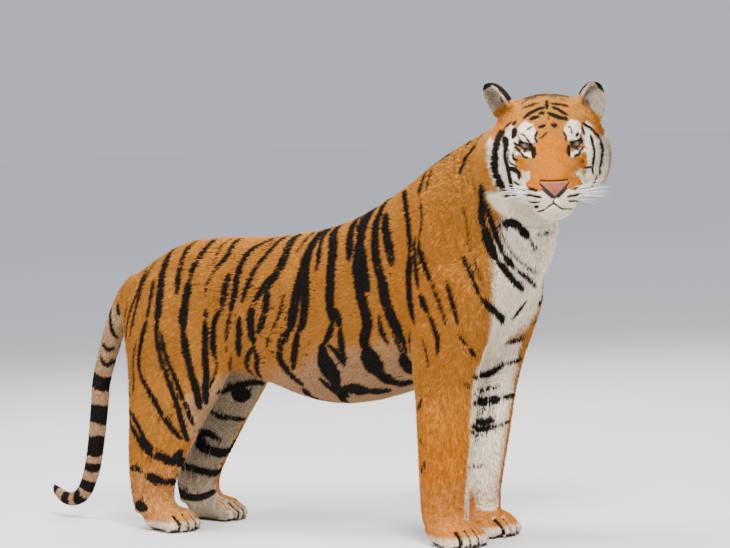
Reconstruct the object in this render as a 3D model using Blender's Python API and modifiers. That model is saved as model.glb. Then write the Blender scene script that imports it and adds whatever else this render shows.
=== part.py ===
"""A life-size Bengal tigress standing square, with her head raised and turned to her right.

Frame: +X is forwards along the trunk, +Y is her left, +Z is up, and the floor is z = 0.
She is built as a sculptor builds a figure: named masses (lofts along the spine and the limbs,
and ellipsoids for muscles) are fused into one body, which is then parted with thin cuts into
head, jaw, neck, trunk, legs, paws and tail. Ears and eyes are pieces of their own.
"""

import math

import bmesh
import bpy
from mathutils import Euler, Matrix, Vector

# ---------------------------------------------------------------- driving sizes, metres and degrees
# Each paw's heel, and how far its toes turn to the left.
FORE_PAWS = {"left": (0.374, 0.088, -6.0), "right": (0.405, -0.095, -20.0)}
HIND_PAWS = {"left": (-0.530, 0.105, 6.0), "right": (-0.515, -0.105, -8.0)}
FORE_PAW_WIDTH, HIND_PAW_WIDTH = 0.125, 0.105
PAW_SINK = -0.003  # the paws are made this far below the floor, and then cut flat
HEAD_CENTRE = Vector((0.729, -0.045, 1.017))  # between the ears, level with the eyes
HEAD_YAW, HEAD_PITCH, HEAD_ROLL = -54.0, 14.0, 0.0  # turned right, nose down, tilt
EYE_RADIUS = 0.017
EYE_PLACE = Vector((0.076, 0.0575, 0.0))  # left eye's centre, in the head's own axes
LID_OPENING = (0.024, 0.0135, 0.0065)  # half sizes of the slit that bares each eye
LID_TURN = 12.0  # how far the slit faces outwards
EAR_PLACE = Vector((-0.040, 0.107, 0.045))  # middle of the left ear's root
EAR_HEIGHT, EAR_RADIUS, EAR_WALL = 0.110, 0.041, 0.006
EAR_CUP, EAR_SWEEP = 0.70, 0.012  # how deep the cup is for its width; how far its tip lies back
EAR_SUNK = 0.024  # how much of its height lies inside the head, before it is trimmed
EARS = {"left": (36.0, 24.0, -38.0), "right": (36.0, 54.0, -8.0)}  # lean out, turn out, tip forwards
GAP = 0.0006  # width of the cuts that part one piece from the next
CLEARANCE = 0.0003  # between a set-in piece and its seat
BODY_VOXEL, FINE_VOXEL, HEAD_VOXEL = 0.010, 0.006, 0.005
BODY_ROUNDS, HEAD_ROUNDS, FINE_ROUNDS = 24, 9, 3  # smoothing after each fusing
EAR_ROWS, EAR_COLUMNS, EAR_ARC = 7, 10, 88.0
EAR_SEAT = 0.004  # the figure is scaled up by this about the head to make the ears' seats
FORE_LEG_TOP, HIND_LEG_TOP, PAW_TOP = 0.370, 0.380, 0.080  # heights of the cuts across the legs
TAIL_ROOT_X, TAIL_CUTS = -0.664, (0.430, 0.190)
HEAD_CUT = ((-0.060, 0.0, 0.0), -12.0, 14.0)  # place, slope and turn of the cut behind the head
NECK_CUT, NECK_CUT_RISE = (0.500, 0.0, 0.790), 40.0
JAW_LINE, JAW_SLOPE = -0.124, -3.0
NOSE_BLOCK = ((0.184, -0.036, -0.104), (0.230, 0.036, -0.066))
UPPER_LEG_FLOOR = 0.40  # the legs above this are blended softly into the trunk
TRIANGLES = 4900  # of the whole body, before it is parted
HEAD_SHARE, THIN_PULL = 0.997, 0.05  # the lower the share, the more triangles stay in the head
SEGMENTS = 28  # points round a section

# Trunk, from tail root to chest: x, top, bottom, half width.
TRUNK = [
    (-0.655, 0.655, 0.590, 0.040),
    (-0.620, 0.682, 0.540, 0.085),
    (-0.550, 0.727, 0.460, 0.125),
    (-0.440, 0.772, 0.430, 0.145),
    (-0.300, 0.780, 0.415, 0.145),
    (-0.170, 0.779, 0.385, 0.145),
    (-0.050, 0.790, 0.348, 0.152),
    (0.060, 0.808, 0.338, 0.158),
    (0.160, 0.843, 0.350, 0.158),
    (0.250, 0.888, 0.372, 0.152),
    (0.330, 0.932, 0.395, 0.142),
    (0.420, 0.960, 0.425, 0.135),
    (0.510, 0.930, 0.480, 0.125),
    (0.580, 0.860, 0.560, 0.105),
    (0.620, 0.780, 0.620, 0.070),
]
# Neck, from the chest to the skull: centre, half width, half depth, rise and yaw of its axis.
NECK = [
    ((0.400, 0.000, 0.740), 0.135, 0.200, 50, 0),
    ((0.485, 0.000, 0.820), 0.130, 0.188, 47, 0),
    ((0.565, -0.008, 0.880), 0.122, 0.166, 40, -8),
    ((0.630, -0.022, 0.930), 0.114, 0.134, 28, -22),
    ((0.685, -0.038, 0.975), 0.106, 0.108, 12, -38),
]
# Tail, hanging from the rump and curling up just clear of the floor: centre, radius.
TAIL = [
    ((-0.620, 0.000, 0.650), 0.050),
    ((-0.675, 0.000, 0.612), 0.038),
    ((-0.722, 0.000, 0.550), 0.031),
    ((-0.757, 0.000, 0.475), 0.028),
    ((-0.790, 0.000, 0.390), 0.026),
    ((-0.805, 0.000, 0.300), 0.025),
    ((-0.822, 0.000, 0.210), 0.024),
    ((-0.845, 0.000, 0.125), 0.023),
    ((-0.885, 0.003, 0.065), 0.022),
    ((-0.940, 0.010, 0.050), 0.020),
    ((-0.990, 0.018, 0.072), 0.015),
    ((-1.010, 0.022, 0.095), 0.006),
]
# Fore leg, from inside the shoulder to the wrist: z, back edge, front edge, y, half width.
FORE_LEG = [
    (0.700, 0.372, 0.600, 0.082, 0.070),
    (0.620, 0.362, 0.600, 0.094, 0.074),
    (0.540, 0.352, 0.574, 0.104, 0.073),
    (0.460, 0.346, 0.540, 0.110, 0.067),
    (0.380, 0.352, 0.520, 0.110, 0.064),
    (0.280, 0.350, 0.508, 0.106, 0.061),
    (0.180, 0.346, 0.488, 0.101, 0.056),
    (0.110, 0.344, 0.475, 0.097, 0.054),
    (0.060, 0.348, 0.470, 0.095, 0.053),
]
# Hind leg, from inside the hip past the hock to the foot. The left one stands a little further back.
HIND_LEG = [
    (0.680, -0.610, -0.330, 0.070, 0.070),
    (0.600, -0.622, -0.290, 0.085, 0.076),
    (0.520, -0.612, -0.262, 0.095, 0.075),
    (0.450, -0.600, -0.260, 0.103, 0.068),
    (0.390, -0.596, -0.280, 0.108, 0.062),
    (0.330, -0.597, -0.322, 0.110, 0.056),
    (0.280, -0.600, -0.358, 0.110, 0.050),
    (0.240, -0.604, -0.385, 0.110, 0.047),
    (0.200, -0.608, -0.413, 0.109, 0.044),
    (0.160, -0.609, -0.440, 0.108, 0.042),
    (0.120, -0.606, -0.462, 0.107, 0.042),
    (0.080, -0.599, -0.472, 0.106, 0.043),
    (0.045, -0.590, -0.470, 0.105, 0.045),
]
# Muscles and other round masses: name, centre, radii, turn about Y, for the left side; the right mirrors it.
MUSCLES = [
    ("shoulder_blade", (0.425, 0.080, 0.780), (0.085, 0.066, 0.165), 14),
    ("shoulder_point", (0.530, 0.080, 0.650), (0.078, 0.072, 0.110), 20),
    ("upper_arm", (0.450, 0.105, 0.590), (0.100, 0.062, 0.130), 10),
    ("ribs", (0.120, 0.040, 0.600), (0.230, 0.122, 0.200), 0),
    ("haunch", (-0.455, 0.080, 0.585), (0.150, 0.074, 0.140), 0),
    ("thigh", (-0.440, 0.098, 0.500), (0.150, 0.062, 0.130), -12),
    ("calf", (-0.490, 0.108, 0.370), (0.095, 0.048, 0.100), 18),
    ("throat", (0.622, 0.012, 0.750), (0.074, 0.066, 0.135), 22),
]
# Head, in its own axes: +X out through the nose, z = 0 at the eyes. From the nape to the lips:
# x, top, bottom, half width.
HEAD = [
    (-0.135, 0.045, -0.085, 0.080),
    (-0.105, 0.078, -0.115, 0.115),
    (-0.065, 0.091, -0.135, 0.134),
    (-0.025, 0.096, -0.145, 0.138),
    (0.015, 0.094, -0.150, 0.131),
    (0.050, 0.080, -0.155, 0.116),
    (0.080, 0.054, -0.160, 0.096),
    (0.110, 0.024, -0.164, 0.082),
    (0.140, -0.010, -0.166, 0.075),
    (0.168, -0.040, -0.160, 0.068),
    (0.188, -0.062, -0.142, 0.054),
    (0.198, -0.078, -0.120, 0.032),
]
# Nose bridge, flat on top: x, top, depth, half width.
BRIDGE = [
    (0.060, 0.062, 0.060, 0.040),
    (0.095, 0.040, 0.060, 0.039),
    (0.130, 0.006, 0.060, 0.038),
    (0.165, -0.028, 0.050, 0.037),
    (0.192, -0.054, 0.040, 0.034),
]
# Round masses of the left side of the head, mirrored to the right: name, centre, radii, turn.
HEAD_PAIRS = [
    ("whisker_pad", (0.155, 0.038, -0.094), (0.046, 0.041, 0.037), 12),
    ("lip_corner", (0.105, 0.050, -0.100), (0.055, 0.036, 0.042), 10),
    ("cheek_bone", (0.045, 0.068, -0.040), (0.066, 0.052, 0.052), 20),
    ("ruff", (-0.030, 0.103, -0.060), (0.062, 0.050, 0.088), 0),
    ("jowl", (0.070, 0.070, -0.088), (0.062, 0.042, 0.054), 0),
    ("cheek", (0.015, 0.082, -0.080), (0.065, 0.048, 0.055), 0),
    ("brow", (0.058, 0.044, 0.028), (0.046, 0.036, 0.026), 35),
]
CHIN = ((0.148, 0.0, -0.143), (0.044, 0.046, 0.030))
# Hollows pressed into the left side: name, centre, radii, turn.
HEAD_HOLLOWS = [
    ("eye_hollow", (0.122, 0.067, -0.002), (0.027, 0.028, 0.018), 20),
    ("lip_line", (0.150, 0.066, -0.136), (0.045, 0.026, 0.006), -4),
]
# Colour and roughness, by the start of a piece's name.
LOOKS = {
    "eye": ((0.48, 0.45, 0.22), 0.08),
    "nose": ((0.46, 0.17, 0.12), 0.45),
    "lower_jaw": ((0.78, 0.74, 0.66), 0.85),
    "ear": ((0.12, 0.08, 0.05), 0.85),
    "tail": ((0.52, 0.36, 0.20), 0.85),
    "fore_paw": ((0.72, 0.50, 0.28), 0.85),
    "hind_paw": ((0.62, 0.44, 0.27), 0.85),
    "": ((0.64, 0.29, 0.07), 0.85),
}


def ring(centre, half_width, half_depth, rise=0.0, yaw=0.0):
    """Matrix that turns a unit circle into a section across an axis with this rise and yaw."""
    turned = Euler((0.0, math.radians(90.0 - rise), math.radians(yaw)), "XYZ").to_matrix()
    return Matrix.Translation(centre) @ turned.to_4x4() @ Matrix.Diagonal((half_depth, half_width, 1.0, 1.0))


def level_ring(x_back, x_front, y, z, half_width):
    """Matrix of a level section through a limb."""
    centre = Vector(((x_back + x_front) / 2, y, z))
    return Matrix.Translation(centre) @ Matrix.Diagonal(((x_front - x_back) / 2, half_width, 1.0, 1.0))


def loft(name, sections):
    """A closed skin over a row of sections, each a unit circle under its own matrix."""
    mesh = bmesh.new()
    hoops = []
    for matrix in sections:
        made = bmesh.ops.create_circle(mesh, segments=SEGMENTS, radius=1.0, matrix=matrix)
        hoops.append(list({edge for vert in made["verts"] for edge in vert.link_edges}))
    for first, second in zip(hoops, hoops[1:]):
        bmesh.ops.bridge_loops(mesh, edges=first + second)
    bmesh.ops.holes_fill(mesh, edges=hoops[0] + hoops[-1], sides=0)
    bmesh.ops.recalc_face_normals(mesh, faces=mesh.faces)
    return new_object(name, mesh)


def smooth_row(rows, steps):
    """The rows with others set between them on a smooth curve, so that a loft has no corners."""
    out = []
    last = len(rows) - 1
    for i in range(last):
        p0, p1, p2, p3 = rows[max(i - 1, 0)], rows[i], rows[i + 1], rows[min(i + 2, last)]
        for step in range(steps):
            t = step / steps
            out.append([catmull_rom(a, b, c, d, t) for a, b, c, d in zip(p0, p1, p2, p3)])
    return out + [list(rows[-1])]


def catmull_rom(a, b, c, d, t):
    return b + 0.5 * t * (c - a + t * (2 * a - 5 * b + 4 * c - d + t * (3 * (b - c) + d - a)))


def ellipsoid(name, centre, radii, turn=0.0, frame=Matrix.Identity(4)):
    """A round mass. turn tips its top forwards, in degrees."""
    mesh = bmesh.new()
    place = Matrix.Translation(centre) @ Matrix.Rotation(math.radians(turn), 4, "Y")
    matrix = frame @ place @ Matrix.Diagonal((*radii, 1.0))
    bmesh.ops.create_uvsphere(mesh, u_segments=16, v_segments=9, radius=1.0, matrix=matrix)
    bmesh.ops.recalc_face_normals(mesh, faces=mesh.faces)
    return new_object(name, mesh)


def new_object(name, mesh):
    data = bpy.data.meshes.new(name)
    mesh.to_mesh(data)
    mesh.free()
    made = bpy.data.objects.new(name, data)
    bpy.context.scene.collection.objects.link(made)
    return made


def fuse(name, masses, voxel, rounds):
    """One closed skin round all the masses, smoothed where they meet. The masses are used up."""
    joined = bmesh.new()
    for mass in masses:
        joined.from_mesh(mass.data)
        bpy.data.objects.remove(mass)
    body = new_object(name, joined)
    remesh = body.modifiers.new("Fuse", "REMESH")
    remesh.mode = "VOXEL"
    remesh.voxel_size = voxel
    smooth = body.modifiers.new("Smooth", "SMOOTH")
    smooth.factor = 0.5
    smooth.iterations = rounds
    return evaluated(body)


def evaluated(thing):
    """The object with its modifiers made part of its mesh."""
    bpy.context.view_layer.update()
    graph = bpy.context.evaluated_depsgraph_get()
    data = bpy.data.meshes.new_from_object(thing.evaluated_get(graph))
    thing.modifiers.clear()
    thing.data = data
    return thing


# ---------------------------------------------------------------- masses
def trunk_masses():
    rows = smooth_row(TRUNK, 3)
    sections = [ring((x, 0, (top + low) / 2), half, (top - low) / 2) for x, top, low, half in rows]
    return [loft("trunk", sections)]


def neck_masses():
    flat = [(*centre, half, depth, rise, yaw) for centre, half, depth, rise, yaw in NECK]
    rows = smooth_row(flat, 3)
    return [loft("neck", [ring(row[0:3], *row[3:7]) for row in rows])]


def tail_masses():
    rows = smooth_row([(*centre, radius) for centre, radius in TAIL], 4)
    sections = []
    for i, row in enumerate(rows):
        ahead = Vector(rows[min(i + 1, len(rows) - 1)][0:3]) - Vector(rows[max(i - 1, 0)][0:3])
        turned = ahead.to_track_quat("Z", "Y").to_matrix().to_4x4()
        sections.append(Matrix.Translation(row[0:3]) @ turned @ Matrix.Diagonal((row[3], row[3], 1.0, 1.0)))
    return [loft("tail", sections)]


def leg_masses(side, sign, floor):
    """One side's fore leg and hind leg, down to the height of floor."""
    fore_shift = FORE_PAWS[side][0] - FORE_PAWS["right"][0]
    hind_shift = HIND_PAWS[side][0] - HIND_PAWS["right"][0]
    made = []
    for name, rows, move in (("fore_leg", FORE_LEG, fore_shift), ("hind_leg", HIND_LEG, hind_shift)):
        sections = []
        for z, back, front, y, half in smooth_row(rows, 3):
            if z < floor:
                continue
            carried = move * min(1.0, max(0.0, (0.60 - z) / 0.30))
            sections.append(level_ring(back + carried, front + carried, sign * y, z, half))
        made.append(loft(f"{name}_{side}", sections))
    return made


def muscle_masses(side, sign):
    rows = [(f"{name}_{side}", (x, sign * y, z), radii, turn) for name, (x, y, z), radii, turn in MUSCLES]
    return [ellipsoid(*row) for row in rows]


def paw_masses(name, heel, turn, width):
    """A foot flat on the floor: heel, instep and four toes, each with a knuckle and a tip."""
    frame = Matrix.Translation(heel) @ Matrix.Rotation(math.radians(turn), 4, "Z")
    made = [
        ellipsoid(f"{name}_heel", (0.005, 0, 0.045), (0.055, 0.42 * width, 0.050), 0, frame),
        ellipsoid(f"{name}_instep", (0.040, 0, 0.034), (0.055, 0.46 * width, 0.038), 0, frame),
    ]
    for place in (-1.5, -0.5, 0.5, 1.5):
        y = place * 0.245 * width
        x = 0.078 - 0.016 * (abs(place) - 0.5)
        toe = 0.145 * width
        knuckle = (0.032, toe * 1.05, 0.028)
        tip = (0.024, toe, 0.022)
        made.append(ellipsoid(f"{name}_knuckle", (x, y, 0.033), knuckle, 20, frame))
        made.append(ellipsoid(f"{name}_tip", (x + 0.026, y * 1.06, 0.019), tip, 0, frame))
    return made


def head_frame():
    turned = Euler([math.radians(a) for a in (HEAD_ROLL, HEAD_PITCH, HEAD_YAW)], "XYZ").to_matrix()
    return Matrix.Translation(HEAD_CENTRE) @ turned.to_4x4()


def paired(rows, frame):
    made = []
    for name, (x, y, z), radii, turn in rows:
        for sign in (1, -1):
            made.append(ellipsoid(name, (x, sign * y, z), radii, turn, frame))
    return made


def head_masses():
    frame = head_frame()
    rows = smooth_row(HEAD, 3)
    sections = [frame @ ring((x, 0, (top + low) / 2), half, (top - low) / 2) for x, top, low, half in rows]
    made = [loft("head", sections), ellipsoid("chin", *CHIN, 0, frame)]
    rows = smooth_row(BRIDGE, 3)
    sections = [frame @ ring((x, 0, top - depth / 2), half, depth / 2) for x, top, depth, half in rows]
    made.append(loft("bridge", sections))
    return made + paired(HEAD_PAIRS, frame)


# ---------------------------------------------------------------- set-in pieces
def eye_ball(name, sign, grow=0.0):
    return ellipsoid(name, (EYE_PLACE.x, sign * EYE_PLACE.y, EYE_PLACE.z), (EYE_RADIUS + grow,) * 3, 0, head_frame())


def lid_slit(sign):
    """The space between the lids, in front of the eye."""
    outwards = Matrix.Rotation(sign * math.radians(LID_TURN), 4, "Z")
    place = Matrix.Translation((EYE_PLACE.x, sign * EYE_PLACE.y, EYE_PLACE.z)) @ outwards
    return ellipsoid("slit", (EYE_RADIUS, 0.0, 0.0), LID_OPENING, 0, head_frame() @ place)


def ear(name, side, sign):
    """A cupped leaf that opens forwards and narrows to a round tip: a grid bent to shape."""
    lean, turn, tip = EARS[side]
    mesh = bmesh.new()
    bmesh.ops.create_grid(mesh, x_segments=EAR_COLUMNS, y_segments=EAR_ROWS, size=1.0)
    for vert in mesh.verts:
        angle, t = math.radians(EAR_ARC * vert.co.x), (vert.co.y + 1.0) / 2.0
        radius = EAR_RADIUS * math.sqrt(1.0 - (max(0.0, t - 0.42) / 0.583) ** 2.2)
        back = EAR_CUP * radius * math.cos(angle) + EAR_SWEEP * t
        vert.co = (-back, radius * math.sin(angle), EAR_HEIGHT * t - EAR_SUNK)
    place = Matrix.Translation((EAR_PLACE.x, sign * EAR_PLACE.y, EAR_PLACE.z))
    leant = Matrix.Rotation(-sign * math.radians(lean), 4, "X") @ Matrix.Rotation(math.radians(tip), 4, "Y")
    opened = Matrix.Rotation(sign * math.radians(turn), 4, "Z")
    mesh.transform(head_frame() @ place @ leant @ opened)
    bmesh.ops.recalc_face_normals(mesh, faces=mesh.faces)
    made = new_object(name, mesh)
    thick = made.modifiers.new("Thick", "SOLIDIFY")
    thick.thickness = EAR_WALL
    thick.offset = 0.0
    return evaluated(made)


# ---------------------------------------------------------------- parting
def box(low, high, frame=Matrix.Identity(4), grow=0.0):
    """A block between two corners of frame, grown on every side."""
    low, high = Vector(low) - Vector((grow,) * 3), Vector(high) + Vector((grow,) * 3)
    mesh = bmesh.new()
    matrix = frame @ Matrix.Translation((low + high) / 2) @ Matrix.Diagonal((*(high - low), 1.0))
    bmesh.ops.create_cube(mesh, size=1.0, matrix=matrix)
    return new_object("block", mesh)


def cut(body, tool, operation):
    """Applies one Boolean of the tool to the body. The tool is used up."""
    step = body.modifiers.new("Cut", "BOOLEAN")
    step.operation = operation
    step.object = tool
    evaluated(body)
    bpy.data.objects.remove(tool)
    return body


def copy_of(thing, name):
    made = bpy.data.objects.new(name, thing.data.copy())
    bpy.context.scene.collection.objects.link(made)
    return made


def part_off(body, name, *block):
    """Takes the piece inside the block out of the body, leaving a gap all round it."""
    piece = cut(copy_of(body, name), box(*block), "INTERSECT")
    cut(body, box(*block, grow=GAP), "DIFFERENCE")
    return piece


def thin(body, count):
    """Lowers the count of triangles. The head keeps a larger share."""
    group = body.vertex_groups.new(name="freely")
    back = head_frame().inverted()
    for vert in body.data.vertices:
        ahead = (back @ vert.co).x > -0.12 and vert.co.z > 0.80
        group.add([vert.index], HEAD_SHARE if ahead else 1.0, "REPLACE")
    step = body.modifiers.new("Thin", "DECIMATE")
    step.ratio = count / (2.0 * len(body.data.polygons))
    step.vertex_group = "freely"
    step.vertex_group_factor = THIN_PULL
    step.use_collapse_triangulate = True
    evaluated(body)
    body.vertex_groups.clear()
    return body


def part_body(whole):
    """Cuts the whole figure into its pieces."""
    place, slope, turn = HEAD_CUT
    turned = Euler((0.0, math.radians(slope), math.radians(turn)), "XYZ").to_matrix().to_4x4()
    front = head_frame() @ Matrix.Translation(place) @ turned
    neck = Matrix.Translation(NECK_CUT) @ Matrix.Rotation(math.radians(-NECK_CUT_RISE), 4, "Y")
    cut(whole, box((-2.0, -1.0, -1.0), (2.0, 1.0, 0.0)), "DIFFERENCE")
    pieces = []
    for side, sign in (("left", 1), ("right", -1)):
        for leg, back, ahead, top in (("fore", 0.27, 0.75, FORE_LEG_TOP), ("hind", -0.668, -0.25, HIND_LEG_TOP)):
            low, high = sorted((sign * 0.002, sign * 0.30))
            paw = part_off(whole, f"{leg}_paw_{side}", (back, low, -0.1), (ahead, high, PAW_TOP))
            leg = part_off(whole, f"{leg}_leg_{side}", (back, low, PAW_TOP + GAP), (ahead, high, top))
            pieces += [paw, leg]
    lows = (-0.05, TAIL_CUTS[1], TAIL_CUTS[0])
    highs = (TAIL_CUTS[1] - GAP, TAIL_CUTS[0] - GAP, 0.80)
    for name, low, high in zip(("tail_tip", "tail_middle", "tail_root"), lows, highs):
        pieces.append(part_off(whole, name, (-1.20, -0.20, low), (TAIL_ROOT_X, 0.20, high)))
    head = part_off(whole, "head", (0.0, -0.25, -0.245), (0.40, 0.25, 0.25), front)
    pieces.append(part_off(whole, "neck", (0.0, -0.40, -0.40), (0.70, 0.40, 0.60), neck))
    whole.name = "trunk"
    jaw = Matrix.Rotation(math.radians(JAW_SLOPE), 4, "Y")
    pieces.append(part_off(head, "lower_jaw", (0.070, -0.052, -0.25), (0.30, 0.052, JAW_LINE), head_frame() @ jaw))
    pieces.append(part_off(head, "nose", *NOSE_BLOCK, head_frame()))
    return pieces + [whole, head]


def paint(thing):
    colour, roughness = next(look for start, look in LOOKS.items() if thing.name.startswith(start))
    material = bpy.data.materials.new(thing.name)
    material.use_nodes = True
    shader = material.node_tree.nodes["Principled BSDF"]
    shader.inputs["Base Color"].default_value = (*colour, 1.0)
    shader.inputs["Roughness"].default_value = roughness
    thing.data.materials.clear()
    thing.data.materials.append(material)


def settle(pieces):
    """Sets the figure over the origin, and gives each piece its material and collection."""
    corners = [vert.co for piece in pieces for vert in piece.data.vertices]
    lows, highs = (Vector([pick(c[i] for c in corners) for i in range(3)]) for pick in (min, max))
    middle = Vector(((lows.x + highs.x) / 2, (lows.y + highs.y) / 2, 0.0))
    figure = bpy.data.collections.new("tiger")
    bpy.context.scene.collection.children.link(figure)
    for piece in pieces:
        piece.data.transform(Matrix.Translation(-middle))
        piece.data.name = piece.name
        bpy.context.scene.collection.objects.unlink(piece)
        figure.objects.link(piece)
        paint(piece)


def main():
    for thing in list(bpy.data.objects):
        bpy.data.objects.remove(thing)
    body = trunk_masses() + neck_masses() + tail_masses()
    fine = tail_masses()
    for side, sign in (("left", 1), ("right", -1)):
        body += leg_masses(side, sign, UPPER_LEG_FLOOR) + muscle_masses(side, sign)
        fine += leg_masses(side, sign, 0.0)
        fore_x, fore_y, fore_turn = FORE_PAWS[side]
        hind_x, hind_y, hind_turn = HIND_PAWS[side]
        fine += paw_masses("fore_paw", (fore_x, fore_y, PAW_SINK), fore_turn, FORE_PAW_WIDTH)
        fine += paw_masses("hind_paw", (hind_x, hind_y, PAW_SINK), hind_turn, HIND_PAW_WIDTH)
    rough = fuse("rough", body, BODY_VOXEL, BODY_ROUNDS)
    detailed = fuse("detailed", fine, FINE_VOXEL, FINE_ROUNDS)
    head = fuse("head_rough", head_masses(), HEAD_VOXEL, FINE_ROUNDS)
    for hollow in paired(HEAD_HOLLOWS, head_frame()):
        cut(head, hollow, "DIFFERENCE")
    head = fuse("head_smooth", [head], HEAD_VOXEL, HEAD_ROUNDS)
    whole = thin(fuse("whole", [rough, detailed, head], FINE_VOXEL, FINE_ROUNDS), TRIANGLES)
    uncut = copy_of(whole, "uncut")
    uncut.data.transform(head_frame() @ Matrix.Scale(1.0 + EAR_SEAT, 4) @ head_frame().inverted())
    pieces = part_body(whole)
    head = pieces[-1]
    for side, sign in (("left", 1), ("right", -1)):
        cut(head, eye_ball("seat", sign, CLEARANCE), "DIFFERENCE")
        cut(head, lid_slit(sign), "DIFFERENCE")
        pieces.append(cut(ear(f"ear_{side}", side, sign), copy_of(uncut, "seat"), "DIFFERENCE"))
        pieces.append(eye_ball(f"eye_{side}", sign))
    bpy.data.objects.remove(uncut)
    settle(pieces)


main()
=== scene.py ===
"""The looks of the life-size Bengal tigress: skin, coat, eyes, nose leather, whiskers and claws.

The coat is made of solid tufts. Everything is in metres in the frame's own axes, +X forwards, +Y to her left
and +Z up with the floor at z = 0, but for the strokes' lists, which are in millimetres.
"""

import math

import bmesh
import bpy
import numpy as np
from mathutils import Matrix, Vector
from mathutils.bvhtree import BVHTree
from mathutils.kdtree import KDTree


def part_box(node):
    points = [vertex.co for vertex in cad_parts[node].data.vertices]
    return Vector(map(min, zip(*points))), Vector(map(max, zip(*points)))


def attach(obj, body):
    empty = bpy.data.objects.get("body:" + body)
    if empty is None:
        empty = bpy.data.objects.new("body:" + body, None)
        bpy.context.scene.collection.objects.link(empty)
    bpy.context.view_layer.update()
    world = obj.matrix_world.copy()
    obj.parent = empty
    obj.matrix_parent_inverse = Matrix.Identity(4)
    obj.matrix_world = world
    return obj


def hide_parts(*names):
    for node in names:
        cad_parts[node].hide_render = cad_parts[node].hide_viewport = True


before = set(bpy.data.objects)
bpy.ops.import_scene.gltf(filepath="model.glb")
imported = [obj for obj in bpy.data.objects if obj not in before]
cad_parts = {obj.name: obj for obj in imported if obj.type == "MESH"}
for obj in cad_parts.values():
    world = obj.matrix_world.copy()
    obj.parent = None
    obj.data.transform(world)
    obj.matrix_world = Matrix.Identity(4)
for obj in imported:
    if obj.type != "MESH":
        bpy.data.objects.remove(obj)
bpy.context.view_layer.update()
SEED = 7

FLESH = [
    "head", "lower_jaw", "neck", "trunk", "ear_left", "ear_right", "tail_root", "tail_middle", "tail_tip",
    "fore_leg_left", "fore_leg_right", "hind_leg_left", "hind_leg_right",
    "fore_paw_left", "fore_paw_right", "hind_paw_left", "hind_paw_right",
]
SIDES = (("left", 1.0), ("right", -1.0))

# ---------------------------------------------------------------- the head's own axes
HEAD_PITCH = math.radians(14.0)  # nose down
EYE_FORWARD = 0.076  # of the eyes' centres, ahead of the head's origin
EYE_RADIUS = 0.017


def middle(node):
    low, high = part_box(node)
    return (low + high) / 2


def head_axes():
    """+X out through the nose, +Y to her left, origin between the ears at the height of the eyes."""
    left, right = middle("eye_left"), middle("eye_right")
    across = (left - right).normalized()
    ahead = Matrix.Rotation(HEAD_PITCH, 3, across) @ across.cross(Vector((0, 0, 1)))
    up = ahead.cross(across)
    turned = Matrix((ahead, across, up)).transposed().to_4x4()
    return Matrix.Translation((left + right) / 2 - EYE_FORWARD * ahead) @ turned


HEAD = head_axes()
HEAD_BACK = HEAD.inverted()
EYE_SPREAD = (middle("eye_left") - middle("eye_right")).length / 2
MID_Y = (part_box("fore_leg_left")[0].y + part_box("fore_leg_right")[1].y) / 2  # her middle plane
TAIL_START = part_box("tail_root")[1].x
# Degrees that each ear leans out, is turned out, and is tipped forwards.
EARS = {"left": (36.0, 24.0, -38.0), "right": (36.0, 54.0, -8.0)}
EAR_PLACE = (-0.040, 0.107, 0.045)
EAR_HEIGHT, EAR_SUNK = 0.110, 0.024


def ear_axes(side, sign):
    """Z up along the ear, +X out of its opening, in the row's axes."""
    lean, turn, tip = (math.radians(angle) for angle in EARS[side])
    place = Matrix.Translation((EAR_PLACE[0], sign * EAR_PLACE[1], EAR_PLACE[2]))
    leant = Matrix.Rotation(-sign * lean, 4, "X") @ Matrix.Rotation(tip, 4, "Y")
    return HEAD @ place @ leant @ Matrix.Rotation(sign * turn, 4, "Z")


EAR_AXES = {side: ear_axes(side, sign) for side, sign in SIDES}


# ---------------------------------------------------------------- small helpers on arrays
def through(matrix, points):
    """The points, an array of rows, carried through a 4 x 4 matrix."""
    array = np.array(matrix)
    return points @ array[:3, :3].T + array[:3, 3]


def turned(matrix, vectors):
    return vectors @ np.array(matrix)[:3, :3].T


def unit(vectors):
    return vectors / np.maximum(np.linalg.norm(vectors, axis=1, keepdims=True), 1e-9)


def ramp(values, low, high):
    """0 up to low, 1 from high on, smooth between. low may be the larger."""
    t = np.clip((values - low) / (high - low), 0.0, 1.0)
    return t * t * (3.0 - 2.0 * t)


def waves(points, scale, seed):
    """Smooth wandering values of about -1 to 1: a few sine waves in random directions."""
    rng = np.random.default_rng(seed)
    total = np.zeros(len(points))
    for _ in range(6):
        direction = rng.normal(size=3)
        direction *= rng.uniform(0.6, 1.6) / np.linalg.norm(direction)
        total += np.sin(points @ direction * (2 * math.pi / scale) + rng.uniform(0, 2 * math.pi))
    return total / 3.0


def new_object(name, mesh):
    data = bpy.data.meshes.new(name)
    mesh.to_mesh(data)
    mesh.free()
    made = bpy.data.objects.new(name, data)
    bpy.context.scene.collection.objects.link(made)
    return made


def shade_smooth(data):
    for face in data.polygons:
        face.use_smooth = True


def applied(thing):
    """The object with its modifiers made part of its mesh."""
    bpy.context.view_layer.update()
    graph = bpy.context.evaluated_depsgraph_get()
    data = bpy.data.meshes.new_from_object(thing.evaluated_get(graph))
    thing.modifiers.clear()
    thing.data = data
    return thing


def fused(thing, voxel):
    """The object's overlapping parts made one closed skin of small squares."""
    fuse = thing.modifiers.new("Fuse", "REMESH")
    fuse.mode = "VOXEL"
    fuse.voxel_size = voxel
    return applied(thing)


def places(data):
    flat = np.empty(len(data.vertices) * 3, np.float32)
    data.vertices.foreach_get("co", flat)
    return flat.reshape(-1, 3).astype(float)


def set_places(data, points):
    data.vertices.foreach_set("co", points.astype(np.float32).ravel())
    data.update()


def normals(data):
    flat = np.empty(len(data.vertices) * 3, np.float32)
    data.vertex_normals.foreach_get("vector", flat)
    return flat.reshape(-1, 3).astype(float)


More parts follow.
